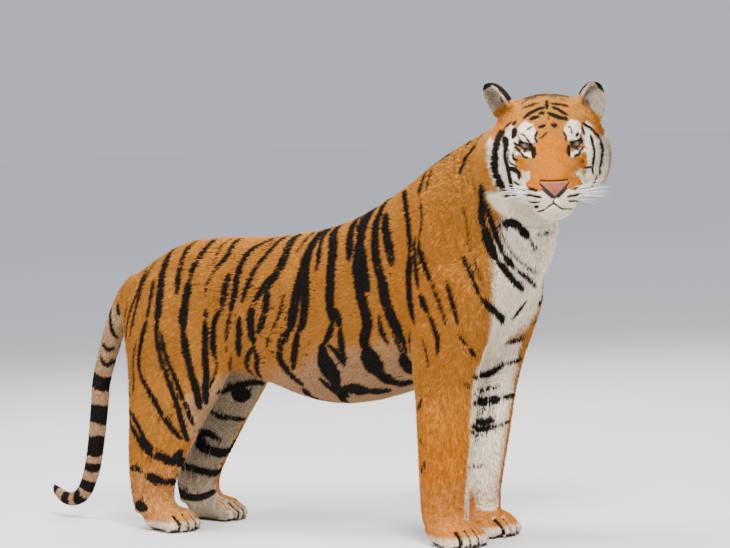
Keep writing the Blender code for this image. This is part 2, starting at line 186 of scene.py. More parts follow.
def store(data, name, values):
    layer = data.attributes.new(name, "FLOAT", "POINT")
    layer.data.foreach_set("value", np.asarray(values, np.float32))


# ---------------------------------------------------------------- skin
VOXEL = 0.0036  # of the skin when the parts are fused
CUT_CLOSING = 0.0006  # the pieces are swollen by this, so that the cuts between them close
TRUNK_ROUNDS, LIMB_ROUNDS, FINE_ROUNDS = 44, 16, 4  # smoothing, by how broad the form is
SKIN_VERTICES = 68000  # about as many are left when the broad parts are thinned
# How deep the skin lies under the tips of the coat.
DEPTH_TRUNK, DEPTH_LIMB = 0.006, 0.004
DEPTHS = {"tail": 0.003, "head": 0.006, "face": 0.0018, "paw": 0.0015}
SKIN_ABOVE_FLOOR = 0.0002
LEATHER_LAP, UNDER_LEATHER = 0.002, 0.008  # the skin this far inside the nose leather's edge sinks this much


def swollen_copy(into, node):
    part = bmesh.new()
    part.from_mesh(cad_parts[node].data)
    bmesh.ops.remove_doubles(part, verts=part.verts, dist=1e-5)
    part.normal_update()
    for vert in part.verts:
        vert.co += CUT_CLOSING * vert.normal
    data = bpy.data.meshes.new("part")
    part.to_mesh(data)
    part.free()
    into.from_mesh(data)
    bpy.data.meshes.remove(data)


def near_ear(local):
    """1 close to the upright line through an ear's middle, 0 away from it, for points in that ear's axes."""
    return ramp(np.linalg.norm(local[:, :2] - [-0.018, 0], axis=1), 0.056, 0.048)


def zones(points):
    """How far each point belongs to the head, face, ears, paws, tail and limbs: 0 to 1."""
    local = through(HEAD_BACK, points)
    head = ramp(local[:, 0], -0.115, -0.075) * ramp(points[:, 2], 0.76, 0.80)
    head *= ramp(np.linalg.norm(local - [0.035, 0, -0.040], axis=1), 0.200, 0.178)
    face = head * ramp(local[:, 0], 0.000, 0.050)
    ear = np.zeros(len(points))
    for side, _ in SIDES:
        mine = through(EAR_AXES[side].inverted(), points)
        ear = np.maximum(ear, near_ear(mine) * ramp(mine[:, 2], -0.004, 0.010))
    paw = ramp(points[:, 2], 0.110, 0.075) * (points[:, 0] > TAIL_START)
    tail = ramp(points[:, 0], TAIL_START + 0.030, TAIL_START - 0.030)
    limb = ramp(points[:, 2], 0.46, 0.36) * (1 - tail)
    head, face = head * (1 - ear), face * (1 - ear)
    return {"head": head, "face": face, "ear": ear, "paw": paw, "tail": tail, "limb": limb}


def neighbour_mean(points, edges):
    total = np.zeros_like(points)
    for axis in range(3):
        total[:, axis] += np.bincount(edges[:, 0], points[edges[:, 1], axis], len(points))
        total[:, axis] += np.bincount(edges[:, 1], points[edges[:, 0], axis], len(points))
    count = np.bincount(edges.ravel(), minlength=len(points))
    return total / np.maximum(count, 1)[:, None]


def edge_pairs(data):
    flat = np.empty(len(data.edges) * 2, np.int64)
    data.edges.foreach_get("vertices", flat)
    return flat.reshape(-1, 2)


def smooth_by_rounds(data, rounds):
    """Each vertex is smoothed as many times as its own count says."""
    points, edges = places(data), edge_pairs(data)
    for step in range(int(rounds.max())):
        moving = np.clip(rounds - step, 0.0, 1.0)[:, None]
        points += 0.5 * moving * (neighbour_mean(points, edges) - points)
    set_places(data, points)


def fused_flesh():
    mesh = bmesh.new()
    for node in FLESH + ["nose"]:
        swollen_copy(mesh, node)
    body = fused(new_object("skin", mesh), VOXEL)
    zone = zones(places(body.data))
    fine = np.maximum.reduce([zone["head"], zone["ear"], zone["paw"]])
    kept = np.maximum.reduce([zone["face"], zone["ear"], ramp(places(body.data)[:, 2], 0.085, 0.055)])
    limb = np.maximum(zone["limb"], zone["tail"])
    broad = TRUNK_ROUNDS + (LIMB_ROUNDS - TRUNK_ROUNDS) * limb
    smooth_by_rounds(body.data, broad + (FINE_ROUNDS - broad) * fine)
    group = body.vertex_groups.new(name="freely")
    for index in np.nonzero(kept < 0.5)[0]:
        group.add([int(index)], 1.0, "REPLACE")
    thin = body.modifiers.new("Thin", "DECIMATE")
    thin.ratio = SKIN_VERTICES / len(body.data.vertices)
    thin.vertex_group = "freely"
    applied(body)
    body.vertex_groups.clear()
    return body


def refine(body, chosen):
    """Halves the edges among the vertices for which chosen, a function of their places, is true."""
    wanted = chosen(places(body.data))
    mesh = bmesh.new()
    mesh.from_mesh(body.data)
    mesh.verts.ensure_lookup_table()
    edges = [edge for edge in mesh.edges if wanted[edge.verts[0].index] and wanted[edge.verts[1].index]]
    bmesh.ops.subdivide_edges(mesh, edges=edges, cuts=1, use_grid_fill=True)
    bmesh.ops.triangulate(mesh, faces=[face for face in mesh.faces if len(face.verts) > 4])
    mesh.to_mesh(body.data)
    mesh.free()


def coat_depth(points):
    zone = zones(points)
    depth = DEPTH_TRUNK + (DEPTH_LIMB - DEPTH_TRUNK) * zone["limb"]
    for name, value in DEPTHS.items():
        depth += (value - depth) * zone[name]
    return depth * (1 - zone["ear"])


def eye_region(points, radius):
    """The points that lie within the radius of either eye's centre."""
    local = through(HEAD_BACK, points)
    centres = [[EYE_FORWARD, sign * EYE_SPREAD, 0] for _, sign in SIDES]
    return np.any([np.linalg.norm(local - centre, axis=1) < radius for centre in centres], axis=0)


def muzzle_region(points):
    local = through(HEAD_BACK, points)
    ahead = (local[:, 0] > 0.120) & (points[:, 2] > 0.7)
    return ahead & (np.abs(local[:, 1]) < 0.070) & (local[:, 2] < -0.03)


# ---------------------------------------------------------------- lids, lips and folds
LID_TURN = math.radians(10.0)  # how far the opening between the lids faces outwards of straight ahead
LID_REACH, LID_SLANT, LID_TOP, LID_LOW = 0.92, 0.24, 0.11, 0.27  # of the opening, in radians on the eyeball
LID_THICK = 0.0016  # the lids stand this far over the eyeball
LID_BARE = 0.0016  # how far out from the opening no fur grows
LID_DROP = 0.0045  # the skin inside the opening sinks this far under the eyeball's surface
LID_HOLD = (0.0035, 0.012)  # outside the opening, the lids' own form is full up to here and gone from there
LID_SPREAD, LID_CLOSE = 0.034, 0.027  # from an eye's centre: where skin is shaped, and where it is finest

# Grooves and folds: half width and depth in millimetres, then points in millimetres.
# "face" points are (y, z) in the head's axes, "side" and "quarter" ones are as for the stripes.
FOLDS = [
    ("face", 2.2, 3.5, (-44, -143), (-22, -132), (-15, -125), (-4, -118),
     (6, -125), (16, -133), (31, -136), (47, -140)),
    ("face", 1.6, 2.0, (-4, -104), (-4, -118)),
    ("quarter", 3.5, 2.5, (352, 497), (368, 490), (388, 488)),
    ("quarter", 6.0, 3.0, (448, 700), (452, 650), (460, 600), (470, 560)),
    ("quarter", 5.0, 2.5, (395, 800), (404, 745), (408, 690)),
    ("side", 9.0, 3.5, (-235, 420), (-250, 455), (-258, 500), (-255, 550)),
    ("side", 8.0, 3.0, (345, 560), (352, 510), (350, 460), (340, 420)),
]


def lid_axes(sign):
    """+X out of the opening between the lids, origin at the eyeball's centre, in the row's axes."""
    place = Matrix.Translation((EYE_FORWARD, sign * EYE_SPREAD, 0))
    return HEAD @ place @ Matrix.Rotation(sign * LID_TURN, 4, "Z")


def lid_gap(local, sign):
    """Metres along the eyeball from the opening between the lids to a point; negative inside the opening."""
    away = unit(local)
    across = sign * np.arctan2(away[:, 1], np.maximum(away[:, 0], 1e-3)) / LID_REACH
    up = np.arcsin(np.clip(away[:, 2], -1, 1)) - LID_SLANT * across
    bow = np.clip(1 - np.abs(across) ** 2.2, 0, 1)
    gap = np.maximum(up - LID_TOP * bow, -up - LID_LOW * bow)
    return EYE_RADIUS * np.maximum(gap, (np.abs(across) - 1) * LID_REACH)


def shape_lids(points):
    for _, sign in SIDES:
        axes = lid_axes(sign)
        local = through(axes.inverted(), points)
        reach = np.linalg.norm(local, axis=1)
        near = np.nonzero((reach < LID_SPREAD) & (local[:, 0] > -0.004))[0]
        gap, far = lid_gap(local[near], sign), reach[near]
        lid = EYE_RADIUS + LID_THICK
        hold = 1 - ramp(gap, *LID_HOLD)
        wanted = np.where(gap < 0, EYE_RADIUS - LID_DROP, far + hold * (lid - far))
        local[near] *= (wanted / far)[:, None]
        points[near] = through(axes, local[near])
    return points


def tree_of(points):
    tree = KDTree(len(points))
    for index, point in enumerate(points):
        tree.insert(point, index)
    tree.balance()
    return tree


def surface_of(data):
    mesh = bmesh.new()
    mesh.from_mesh(data)
    made = BVHTree.FromBMesh(mesh)
    mesh.free()
    return made


# ---------------------------------------------------------------- the ways strokes are laid on her
QUARTER_TURN = math.radians(36.0)
ABOVE_HER = 1.6  # rays that come down start at this height
DOWN = Vector((0, 0, -1))


def ray(view, first, second):
    """Start and direction of the ray that drops a stroke's point, two numbers in metres, on to her."""
    if view == "side":
        return Vector((first, MID_Y - 0.6, second)), Vector((0, 1, 0))
    if view == "top":
        return Vector((first, MID_Y + second, ABOVE_HER)), DOWN
    if view == "crown":
        return HEAD @ Vector((first, second, 0.3)), -HEAD.col[2].to_3d()
    if view == "quarter":
        right = Vector((math.cos(QUARTER_TURN), math.sin(QUARTER_TURN), 0))
        ahead = Vector((-math.sin(QUARTER_TURN), math.cos(QUARTER_TURN), 0))
        return right * first + Vector((0, 0, second)) - ahead * 2, ahead
    return HEAD @ Vector((0.4, first, second)), -HEAD.col[0].to_3d()


def curve_through(points, spacing):
    """Points along a smooth curve through the given ones."""
    points = np.array(points, float)
    if len(points) == 1:
        return points
    padded = np.vstack([2 * points[0] - points[1], points, 2 * points[-1] - points[-2]])
    made = []
    for before, start, end, after in zip(padded, padded[1:], padded[2:], padded[3:]):
        count = max(1, int(np.linalg.norm(end - start) / spacing))
        t = (np.arange(count) / count)[:, None]
        slope = (end - before) * t
        bend = (2 * before - 5 * start + 4 * end - after) * t ** 2
        twist = (3 * start - before - 3 * end + after) * t ** 3
        made.append(0.5 * (2 * start + slope + bend + twist))
    return np.vstack(made + [points[-1:]])


def laid(surface, view, points, spacing=0.003):
    """The curve's points dropped on to the surface; those that miss it are left out."""
    found = []
    for first, second in curve_through(np.array(points) / 1000, spacing):
        hit = surface.ray_cast(*ray(view, first, second))[0]
        if hit is not None:
            found.append(hit)
    return np.array(found).reshape(-1, 3)


# Degrees that each paw points to her left of straight ahead.
PAW_TURNS = {"fore_paw_left": -6.0, "fore_paw_right": -20.0, "hind_paw_left": 6.0, "hind_paw_right": -8.0}
TOE_SPACING, TOE_REACH = 0.024, 0.050  # between the toes' clefts, and back from a paw's tip to their hub
OUTER_TOE_BACK, HUB_HEIGHT = 0.006, 0.004
CLEFT_LIFTS = np.radians(np.arange(64, 2, -3))  # of the rays that draw a cleft, from steep to nearly level
CLEFT_RAY = 0.12  # the rays start this far from the hub
TOE_FOLD = (5.0, 6.0)  # half width and depth of the grooves between the toes, in millimetres
TOE_ROUNDS = 12.0  # of the smoothing that finds the toes' own relief
TOE_RELIEF, TOE_RELIEF_MOST = 1.2, 0.004  # how many times that relief is added, and the most it may add


def toe_gaps(surface):
    """The three clefts between the toes of each paw, each as points from its top round to its front."""
    gaps = []
    for node, turn in PAW_TURNS.items():
        low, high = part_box(node)
        ahead = Vector((math.cos(math.radians(turn)), math.sin(math.radians(turn)), 0))
        across = Vector((-ahead.y, ahead.x, 0))
        tip = (low + high) / 2 + ahead * (high.x - low.x) / 2
        for step in (-1, 0, 1):
            hub = tip + across * TOE_SPACING * step - ahead * (TOE_REACH + OUTER_TOE_BACK * abs(step))
            hub.z = HUB_HEIGHT
            arms = [ahead * math.cos(lift) + Vector((0, 0, math.sin(lift))) for lift in CLEFT_LIFTS]
            hits = [surface.ray_cast(hub + arm * CLEFT_RAY, -arm)[0] for arm in arms]
            gaps.append(np.array([hit for hit in hits if hit is not None]).reshape(-1, 3))
    return gaps


def press_folds(data, surface):
    """Presses the grooves between the toes and the folds of lips, chest and flanks into the skin."""
    points, outward = places(data), normals(data)
    push = np.zeros(len(points))
    folds = [(*TOE_FOLD, [found]) for found in toe_gaps(surface)]
    for view, width, depth, *line in FOLDS:
        lines = [laid(surface, view, line, 0.002)]
        if view == "side":
            lines.append(lines[0] * [1, -1, 1] + [0, 2 * MID_Y, 0])
        folds.append((width, depth, lines))
    for width, depth, lines in folds:
        for found in lines:
            if not len(found):
                continue
            low, high = found.min(0) - 3 * width / 1000, found.max(0) + 3 * width / 1000
            near = np.nonzero(((points > low) & (points < high)).all(1))[0]
            gap = np.linalg.norm(points[near, None] - found[None], axis=2).min(1) * 1000 / width
            push[near] = np.maximum(push[near], depth / 1000 * np.exp(-gap ** 2))
    set_places(data, points - outward * push[:, None])


def sharpen_toes(data):
    """The paws' own relief is deepened: what smoothing would take away is added once more."""
    points = places(data)
    amount = ramp(points[:, 2], 0.080, 0.055) * ramp(points[:, 2], 0.008, 0.016)
    smooth_by_rounds(data, TOE_ROUNDS * amount * (points[:, 0] > TAIL_START))
    relief = (points - places(data)) * TOE_RELIEF
    relief *= np.minimum(1, TOE_RELIEF_MOST / np.maximum(np.linalg.norm(relief, axis=1), 1e-6))[:, None]
    relief[:, 2] = np.maximum(relief[:, 2], -points[:, 2] * 0.5)
    set_places(data, points + relief)


def finished_skin():
    body = fused_flesh()
    refine(body, lambda points: eye_region(points, LID_SPREAD) | muzzle_region(points))
    refine(body, lambda points: eye_region(points, LID_CLOSE))
    points = places(body.data)
    depth = coat_depth(points) - CUT_CLOSING
    sole = ramp(points[:, 2], 0.012, 0.004)
    set_places(body.data, points - normals(body.data) * (depth * (1 - sole))[:, None])
    press_folds(body.data, surface_of(body.data))
    points = shape_lids(places(body.data))
    covered_by_leather = on_nose(points) & (beyond_leather(through(HEAD_BACK, points)) < -LEATHER_LAP)
    points[covered_by_leather] -= np.array(HEAD.col[0].to_3d()) * UNDER_LEATHER
    points[:, 2] = np.maximum(points[:, 2], SKIN_ABOVE_FLOOR)
    set_places(body.data, points)
    sharpen_toes(body.data)
    shade_smooth(body.data)
    return body


# ---------------------------------------------------------------- stripes, and painted shade between the toes
# Half width in millimetres, then points in millimetres: (x, z) on the flank, seen square on from her right.
SIDE_STRIPES = [
    (4.2, (-407, 675), (-406, 621), (-416, 568)),
    (5, (-416, 568), (-436, 514), (-451, 461), (-451, 434),
     (-439, 407), (-400, 355), (-361, 288), (-335, 249)),
    (3.2, (-458, 514), (-477, 459), (-481, 392), (-489, 360)),
    (2.2, (-497, 431), (-518, 389), (-502, 356)),
    (7, (-410, 748), (-394, 716), (-380, 668), (-377, 613), (-380, 555)),
    (5, (-380, 563), (-380, 521), (-365, 457), (-342, 396), (-325, 335), (-324, 242)),
    (4.2, (-369, 542), (-348, 468), (-319, 402), (-302, 340), (-299, 285)),
    (5.5, (-345, 766), (-339, 735), (-329, 685), (-324, 633)),
    (6.5, (-284, 771), (-276, 755), (-284, 715), (-288, 672)),
    (8, (-288, 672), (-294, 623), (-299, 580), (-297, 539)),
    (6.5, (-297, 539), (-288, 484), (-276, 431), (-266, 377), (-271, 330)),
    (5.5, (-199, 770), (-189, 735), (-204, 707), (-221, 682)),
    (4, (-221, 682), (-230, 646), (-229, 628)),
    (3, (-228, 742), (-225, 717), (-228, 702)),
    (4.5, (-231, 596), (-231, 572)),
    (6, (-234, 567), (-237, 488), (-239, 409), (-255, 343)),
    (7, (-163, 687), (-168, 646), (-176, 596)),
    (5.5, (-176, 596), (-203, 562), (-216, 509), (-216, 466)),
    (2.4, (-216, 482), (-214, 434), (-240, 378)),
    (6.3, (-90, 765), (-122, 744), (-134, 686), (-134, 638), (-146, 588)),
    (4.5, (-146, 588), (-167, 535), (-178, 508)),
    (2.5, (-71, 756), (-94, 729)),
    (5.5, (-54, 741), (-77, 704), (-94, 658), (-109, 612)),
    (6.2, (-117, 575), (-130, 520), (-151, 470)),
    (3, (-175, 500), (-187, 481)),
    (3, (-176, 473), (-191, 445), (-205, 425)),
    (9, (1, 762), (8, 728), (3, 700), (-12, 672), (-22, 655)),
    (6, (-24, 679), (-53, 633), (-78, 594)),
    (8.5, (-75, 604), (-82, 557), (-82, 504)),
    (4.5, (-84, 499), (-133, 454), (-150, 408)),
    (5.2, (-84, 499), (-85, 469), (-104, 440), (-125, 405)),
    (7, (-25, 655), (-27, 599), (-46, 555), (-60, 534)),
    (3.5, (35, 637), (27, 606), (12, 572), (-15, 534)),
    (3.8, (-15, 534), (-30, 513), (-40, 489)),
    (3, (-41, 467), (-42, 463)),
    (4, (-61, 434), (-63, 430)),
    (4, (48, 752), (42, 735)),
    (7, (92, 758), (94, 728), (88, 705)),
    (10, (88, 705), (79, 644), (62, 568), (52, 543)),
    (7.5, (52, 543), (14, 506), (1, 463), (17, 428), (43, 395)),
    (8.5, (96, 715), (107, 637), (100, 568), (82, 543)),
    (7, (82, 543), (65, 501), (45, 459), (34, 439)),
    (2.2, (111, 515), (109, 505)), (2.5, (96, 481), (94, 475)), (2.5, (82, 457), (80, 451)),
    (5, (115, 781), (126, 751), (136, 720), (136, 690)),
    (9, (145, 793), (160, 770), (180, 736), (189, 660), (189, 622), (195, 565)),
    (6.5, (195, 565), (185, 544), (161, 508)),
    (10, (152, 505), (152, 463)),
    (18, (150, 480), (155, 431), (157, 405)),
    (11, (156, 412), (157, 392), (162, 365)),
    (7, (114, 417), (140, 381), (145, 363), (130, 345)),
    (6, (170, 508), (194, 482), (205, 450)),
    (7, (195, 600), (210, 584), (216, 550)),
    (6.5, (216, 550), (211, 503), (208, 458)),
    (15, (180, 388), (235, 383)),
    (10, (227, 383), (253, 380), (290, 384)),
    (8, (210, 811), (221, 781), (233, 751), (240, 720)),
    (8, (244, 808), (263, 774), (278, 739), (290, 705), (297, 675), (305, 641)),
    (9, (267, 705), (282, 637), (296, 575), (292, 545), (278, 515), (279, 487)),
    (17, (280, 495), (287, 447), (295, 430)),
    (12, (291, 436), (302, 417), (318, 405)),
    (9, (311, 405), (335, 402), (362, 408)),
    (4.5, (333, 584), (331, 544), (344, 502)),
    (8, (305, 815), (313, 777), (324, 736), (335, 698), (350, 660), (360, 620)),
    (3.8, (360, 538), (370, 502), (379, 470)),
    (5, (386, 543), (387, 502), (386, 481)),
    (13, (376, 480), (373, 435)),
    (4, (418, 544), (402, 486)),
    (3, (-47, 391), (-17, 369), (12, 362)),
    (9, (42, 385), (36, 365), (60, 352)),
    (6, (26, 356), (57, 351), (105, 346)),
    (5, (-514, 320), (-476, 290), (-438, 235), (-410, 220)),
    (5.5, (-514, 293), (-464, 234), (-417, 195)),
    (6, (-467, 253), (-427, 211)),
    (9, (-412, 206), (-368, 183)),
    (5, (-523, 165), (-488, 165), (-462, 153)),
    (8.5, (-456, 148), (-409, 132)),
    (5, (-409, 132), (-395, 125)),
    (8, (-518, 115), (-527, 91), (-511, 72)),
    (9, (-500, 67), (-459, 62)),
]
# The rump's edge, the far hind leg, then chest, neck, shoulder and forelegs, seen from between her right
# and her front: across, and z.
QUARTER_STRIPES = [
    (2.2, (-471, 627), (-486, 551), (-482, 471)),
    (3, (-419, 701), (-443, 641), (-469, 580), (-485, 505)),
    (3.2, (-391, 719), (-423, 675), (-444, 615), (-464, 545), (-472, 518)),
    (4.5, (-236, 353), (-208, 367), (-158, 380), (-136, 379), (-116, 373)),
    (14, (-198, 353), (-171, 349)),
    (3.8, (-270, 300), (-251, 289), (-224, 283), (-178, 277)),
    (5, (-311, 221), (-296, 238), (-276, 238), (-247, 219)),
    (9, (-308, 221), (-297, 208)),
    (7, (-317, 213), (-298, 199), (-246, 184), (-224, 193), (-206, 222)),
    (5, (-363, 147), (-337, 143), (-282, 129), (-261, 130), (-250, 140)),
    (4.5, (-373, 79), (-352, 66), (-324, 62), (-296, 67), (-271, 78)),
    (6, (-372, 100), (-370, 75), (-352, 60)),
    (7, (225, 834), (222, 798), (227, 762), (234, 708)),
    (8, (206, 682), (211, 632), (222, 589), (236, 553), (254, 517)),
    (4.6, (274, 890), (277, 844), (281, 770), (279, 730)),
    (4.8, (279, 733), (274, 670), (276, 607), (286, 557)),
    (2, (293, 904), (289, 888)),
    (3.6, (296, 780), (292, 745), (294, 682), (298, 645)),
    (6.5, (299, 630), (317, 592)),
    (3.6, (317, 592), (336, 528), (336, 483)),
    (4.5, (410, 987), (377, 967), (347, 947)),
    (3.2, (347, 947), (332, 905), (328, 888)),
    (3.5, (369, 962), (333, 936), (314, 898), (310, 874)),
    (2.6, (310, 874), (313, 825), (303, 765)),
    (4.4, (303, 765), (308, 725), (328, 666)),
    (3, (328, 666), (349, 602), (361, 553)),
    (4.5, (471, 1013), (430, 970), (410, 926)),
    (2, (440, 1001), (412, 977)), (2, (405, 977), (396, 958)), (1.7, (441, 920), (449, 876)),
    (5.5, (467, 913), (459, 829), (463, 796)),
    (7, (463, 801), (478, 741), (489, 716)),
    (4.6, (489, 716), (522, 672), (555, 634)),
    (4, (473, 890), (472, 853), (494, 770), (512, 720)),
    (5.2, (509, 725), (533, 694)),
    (3.2, (533, 694), (568, 664), (592, 638)),
    (2.2, (495, 835), (508, 777), (534, 726), (583, 681), (602, 679)),
    (3, (502, 828), (521, 785)),
    (1.7, (412, 860), (422, 805), (426, 738)),
    (1.5, (431, 725), (456, 649)),
    (3.2, (404, 733), (430, 670), (447, 622)),
    (5, (447, 622), (474, 593), (498, 566), (498, 550)),
    (3.6, (364, 668), (374, 629), (388, 560)),
    (3, (385, 540), (413, 499)), (3.5, (413, 502), (428, 475)),
    (6, (561, 606), (527, 565)), (3, (592, 555), (576, 539)), (3, (609, 643), (607, 629)),
    (7, (515, 812), (551, 798)), (6, (548, 796), (570, 767)),
    (2.4, (570, 767), (584, 742), (596, 739)), (2.4, (584, 744), (581, 734)),
    (2.2, (590, 779), (602, 773), (640, 780)),
    (2.4, (300, 539), (311, 468), (308, 448)),
    (1.5, (395, 414), (413, 400)), (4, (293, 372), (282, 342)),
    (3, (284, 269), (291, 255)), (3.5, (296, 215), (284, 185)),
]
# Her left foreleg's inner face, seen the same way, and not repeated on the other leg.
FORELEG_STRIPES = [
    (3.5, (505, 495), (534, 500), (562, 508)),
    (4.5, (421, 427), (450, 416), (473, 420), (507, 442)),
    (3.2, (507, 442), (538, 447), (556, 455)),
    (2.6, (420, 383), (444, 374), (495, 385)),
    (5.5, (419, 360), (448, 344), (494, 354)),
    (3.5, (494, 354), (532, 356)),
    (4.5, (412, 303), (438, 292), (476, 296)),
    (4, (411, 288), (437, 274), (483, 280)),
    (2.4, (483, 280), (520, 292)),
    (2.2, (400, 198), (423, 179), (451, 183)),
]
# The face, seen from in front, in the head's axes: (y, z).
FACE_STRIPES = [
    (2.4, (-90, 48), (-103, 34), (-112, 20)),
    (9, (-110, 22), (-120, 5), (-127, -30), (-128, -65), (-126, -91)),
    (10, (-125, -90), (-119, -103), (-112, -124)),
    (6.5, (-109, 9), (-107, 0), (-107, -11)),
    (6, (-107, -9), (-110, -30), (-106, -56), (-101, -88), (-98, -99)),
    (3.8, (-104, -56), (-92, -54), (-82, -59), (-80, -72)),
    (1.8, (-94, -80), (-78, -90)),
    (5.5, (-87, 34), (-86, 26), (-90, 17)),
    (3, (-90, 42), (-79, 51)),
    (2.2, (-89, 6), (-82, 0), (-75, -1)),
    (1.3, (-73, 27), (-62, 24), (-49, 6)),
    (4.5, (-47, 0), (-43, -6), (-45, -18)),
    (2.2, (-89, -3), (-78, -10), (-69, -19), (-58, -22)),
    (2.2, (-92, -16), (-92, -28), (-82, -33)),
    (1.6, (-100, -11), (-104, -26), (-101, -39), (-83, -47)),
    (1.8, (-59, 37), (-42, 46)),
    (3, (-28, 44), (-11, 48)),
    (1.6, (-28, 21), (-7, 35)),
    (2.2, (-32, 36), (-38, 24), (-35, 12)),
    (1.8, (29, 34), (36, 24), (35, 13)),
    (2.6, (2, 51), (13, 43)),
    (1.5, (7, 55), (20, 43)),
    (1.6, (-2, 66), (-3, 58)),
    (1.5, (40, 41), (49, 40), (53, 23)),
    (2.6, (61, 20), (69, 25)),
    (2.6, (78, 35), (84, 16)),
    (3.4, (44, 3), (40, -6), (41, -18)),
    (2.2, (53, -22), (67, -19), (80, -8)),
    (2.2, (76, -36), (72, -41)),
    (3.2, (81, 41), (99, 27), (112, 10), (122, -10)),
    (5, (122, -8), (125, -40), (122, -61), (118, -88)),
    (3.2, (112, -89), (95, -102)),
    (3.2, (99, 12), (105, -16), (105, -35), (100, -57)),
    (1.8, (76, -53), (97, -57)),
    (2.8, (98, -56), (100, -76)),
    (2.4, (-76, -88), (-59, -82), (-43, -85)),
    (2.0, (-73, -99), (-58, -96), (-32, -101)),
    (1.8, (-66, -116), (-37, -113)),
    (3.2, (-48, -131), (-41, -125)),
    (2, (-125, -126), (-105, -122), (-94, -104)),
    (3, (-118, -138), (-100, -133), (-87, -103)),
    (1.6, (-87, -128), (-74, -114)),
    (1.8, (46, -83), (61, -82), (72, -84)),
    (2.0, (28, -102), (45, -100), (63, -99), (76, -108)),
    (1.8, (31, -113), (62, -118)),
    (1.6, (-4, -106), (-4, -118)),
    (1.8, (-22, -132), (-15, -125), (-4, -118), (6, -125), (16, -133), (31, -136)),
    (1.2, (-22, -132), (-34, -140), (-44, -143)),
    (1.2, (31, -136), (47, -140)),
    (2.2, (-63, 75), (-52, 81), (-25, 88)), (2, (-64, 73), (-49, 79), (-20, 87)),
    (2.4, (-62, 59), (-49, 68), (-37, 75), (-9, 82)),
    (2.5, (-48, 59), (-26, 65)), (2, (-25, 71), (-11, 73)), (1.8, (-2, 90), (-5, 79)),
    (2, (-3, 89), (14, 89), (45, 83)), (2.2, (4, 87), (21, 85), (50, 77)),
    (2.2, (8, 82), (31, 73), (45, 64)), (2.4, (-4, 72), (20, 63), (44, 57)),
]
# The crown from above, in the head's axes: x and y.
CROWN_STRIPES = [
    (2.2, (-1, -63), (-18, -52), (-24, -39), (-15, -25)),
    (2, (14, -64), (17, -49), (18, -20)),
    (2.4, (50, -62), (44, -37), (41, -9)),
    (2.5, (60, -48), (62, -26)), (2, (56, -25), (56, -11)),
    (1.8, (8, -2), (46, -5)),
    (2, (-19, -3), (-17, 14), (-13, 31), (-2, 45)),
    (2.2, (23, 4), (28, 21), (24, 50)),
    (2.2, (39, 8), (52, 31), (56, 45)),
    (2.4, (58, -4), (66, 20), (65, 44)),
    (4, (-44, -56), (-36, -20), (-36, 20), (-44, 56)), (4.5, (-68, -60), (-60, -20), (-60, 24), (-70, 64)),
    (4.5, (-96, -50), (-88, -10), (-92, 40)),
]
# The back and the left side of the neck, seen from above: x, and the distance to the left of the middle.
TOP_STRIPES = [
    (6, (640, 30), (650, 80), (652, 130), (648, 180)),
    (5, (600, -60), (606, -20), (610, 40), (604, 90), (596, 140)),
    (6, (560, -50), (562, 0), (560, 60), (552, 120)),
    (5, (520, -20), (522, 30), (516, 90), (508, 130)),
    (6, (480, -30), (484, 10), (478, 60), (470, 110)),
    (5, (445, -50), (450, -10), (444, 40)),
    (6, (700, 60), (716, 100), (722, 150)),
]
TAIL_RINGS = [  # x and z of each ring's middle, and half its width
    (-715, 380, 22), (-735, 293, 25), (-755, 205, 28), (-767, 144, 12), (-782, 90, 18),
    (-822, 60, 13), (-870, 70, 12), (-905, 100, 12), (-935, 150, 24),
]
TAIL_STRIPES = [
    (3.5, (-655, 600), (-657, 562), (-655, 526), (-649, 505)), (3.5, (-624, 603), (-625, 567)),
    (4, (-693, 490), (-674, 473), (-662, 479)), (4, (-702, 454), (-690, 431), (-679, 438), (-677, 448)),
]
TAPER = 0.028  # a stripe narrows over this length at each end
FORELEG_TAPER, CROWN_TAPER, FACE_TAPER = 0.020, 0.012, 0.008
STRIPE_END = 0.35  # the share of its width that a stripe keeps at its very end
# The half widths above are multiplied by the first, and are never less than the second, in millimetres.
BOLDNESS = {"side": 1.6, "quarter": 1.9, "face": 1.7, "top": 1.6}
LEAST_HALF = {"side": 4.0, "quarter": 4.0, "face": 2.6, "top": 4.0}
CROWN_EXTRA = 1.2  # millimetres added to the crown's half widths
OVER_BACK_AHEAD, OVER_BACK_ABOVE = -420, 0.70  # side strokes that start here are carried over her back
REPEATED_BEFORE = 460  # quarter strokes that start short of this are repeated on her other side
BEHIND_HEAD = -0.09  # in the head's axes: what is repeated ends here
SIDE_SEED, QUARTER_SEED, TAIL_SEED = 40, 240, 340  # of the wandering of each list's repeated strokes
# Painted shade: skin between the toes is painted dark where it is hollow by the first amount, and ahead of
# these places.
CLEFT_HOLLOW, FORE_TOES_FROM, HIND_TOES_FROM = 0.00035, 0.47, -0.45


def to_midline(found):
    """A flank's stripe that starts near her back is carried on over it, to her middle plane."""
    start, second = found[0], found[min(4, len(found) - 1)]
    lean = np.clip((start[0] - second[0]) / max(start[2] - second[2], 0.004), -0.6, 0.6)
    return [(start[0] + lean * 0.3 * (y - start[1]), y) for y in np.arange(start[1], MID_Y - 0.004, 0.003)]


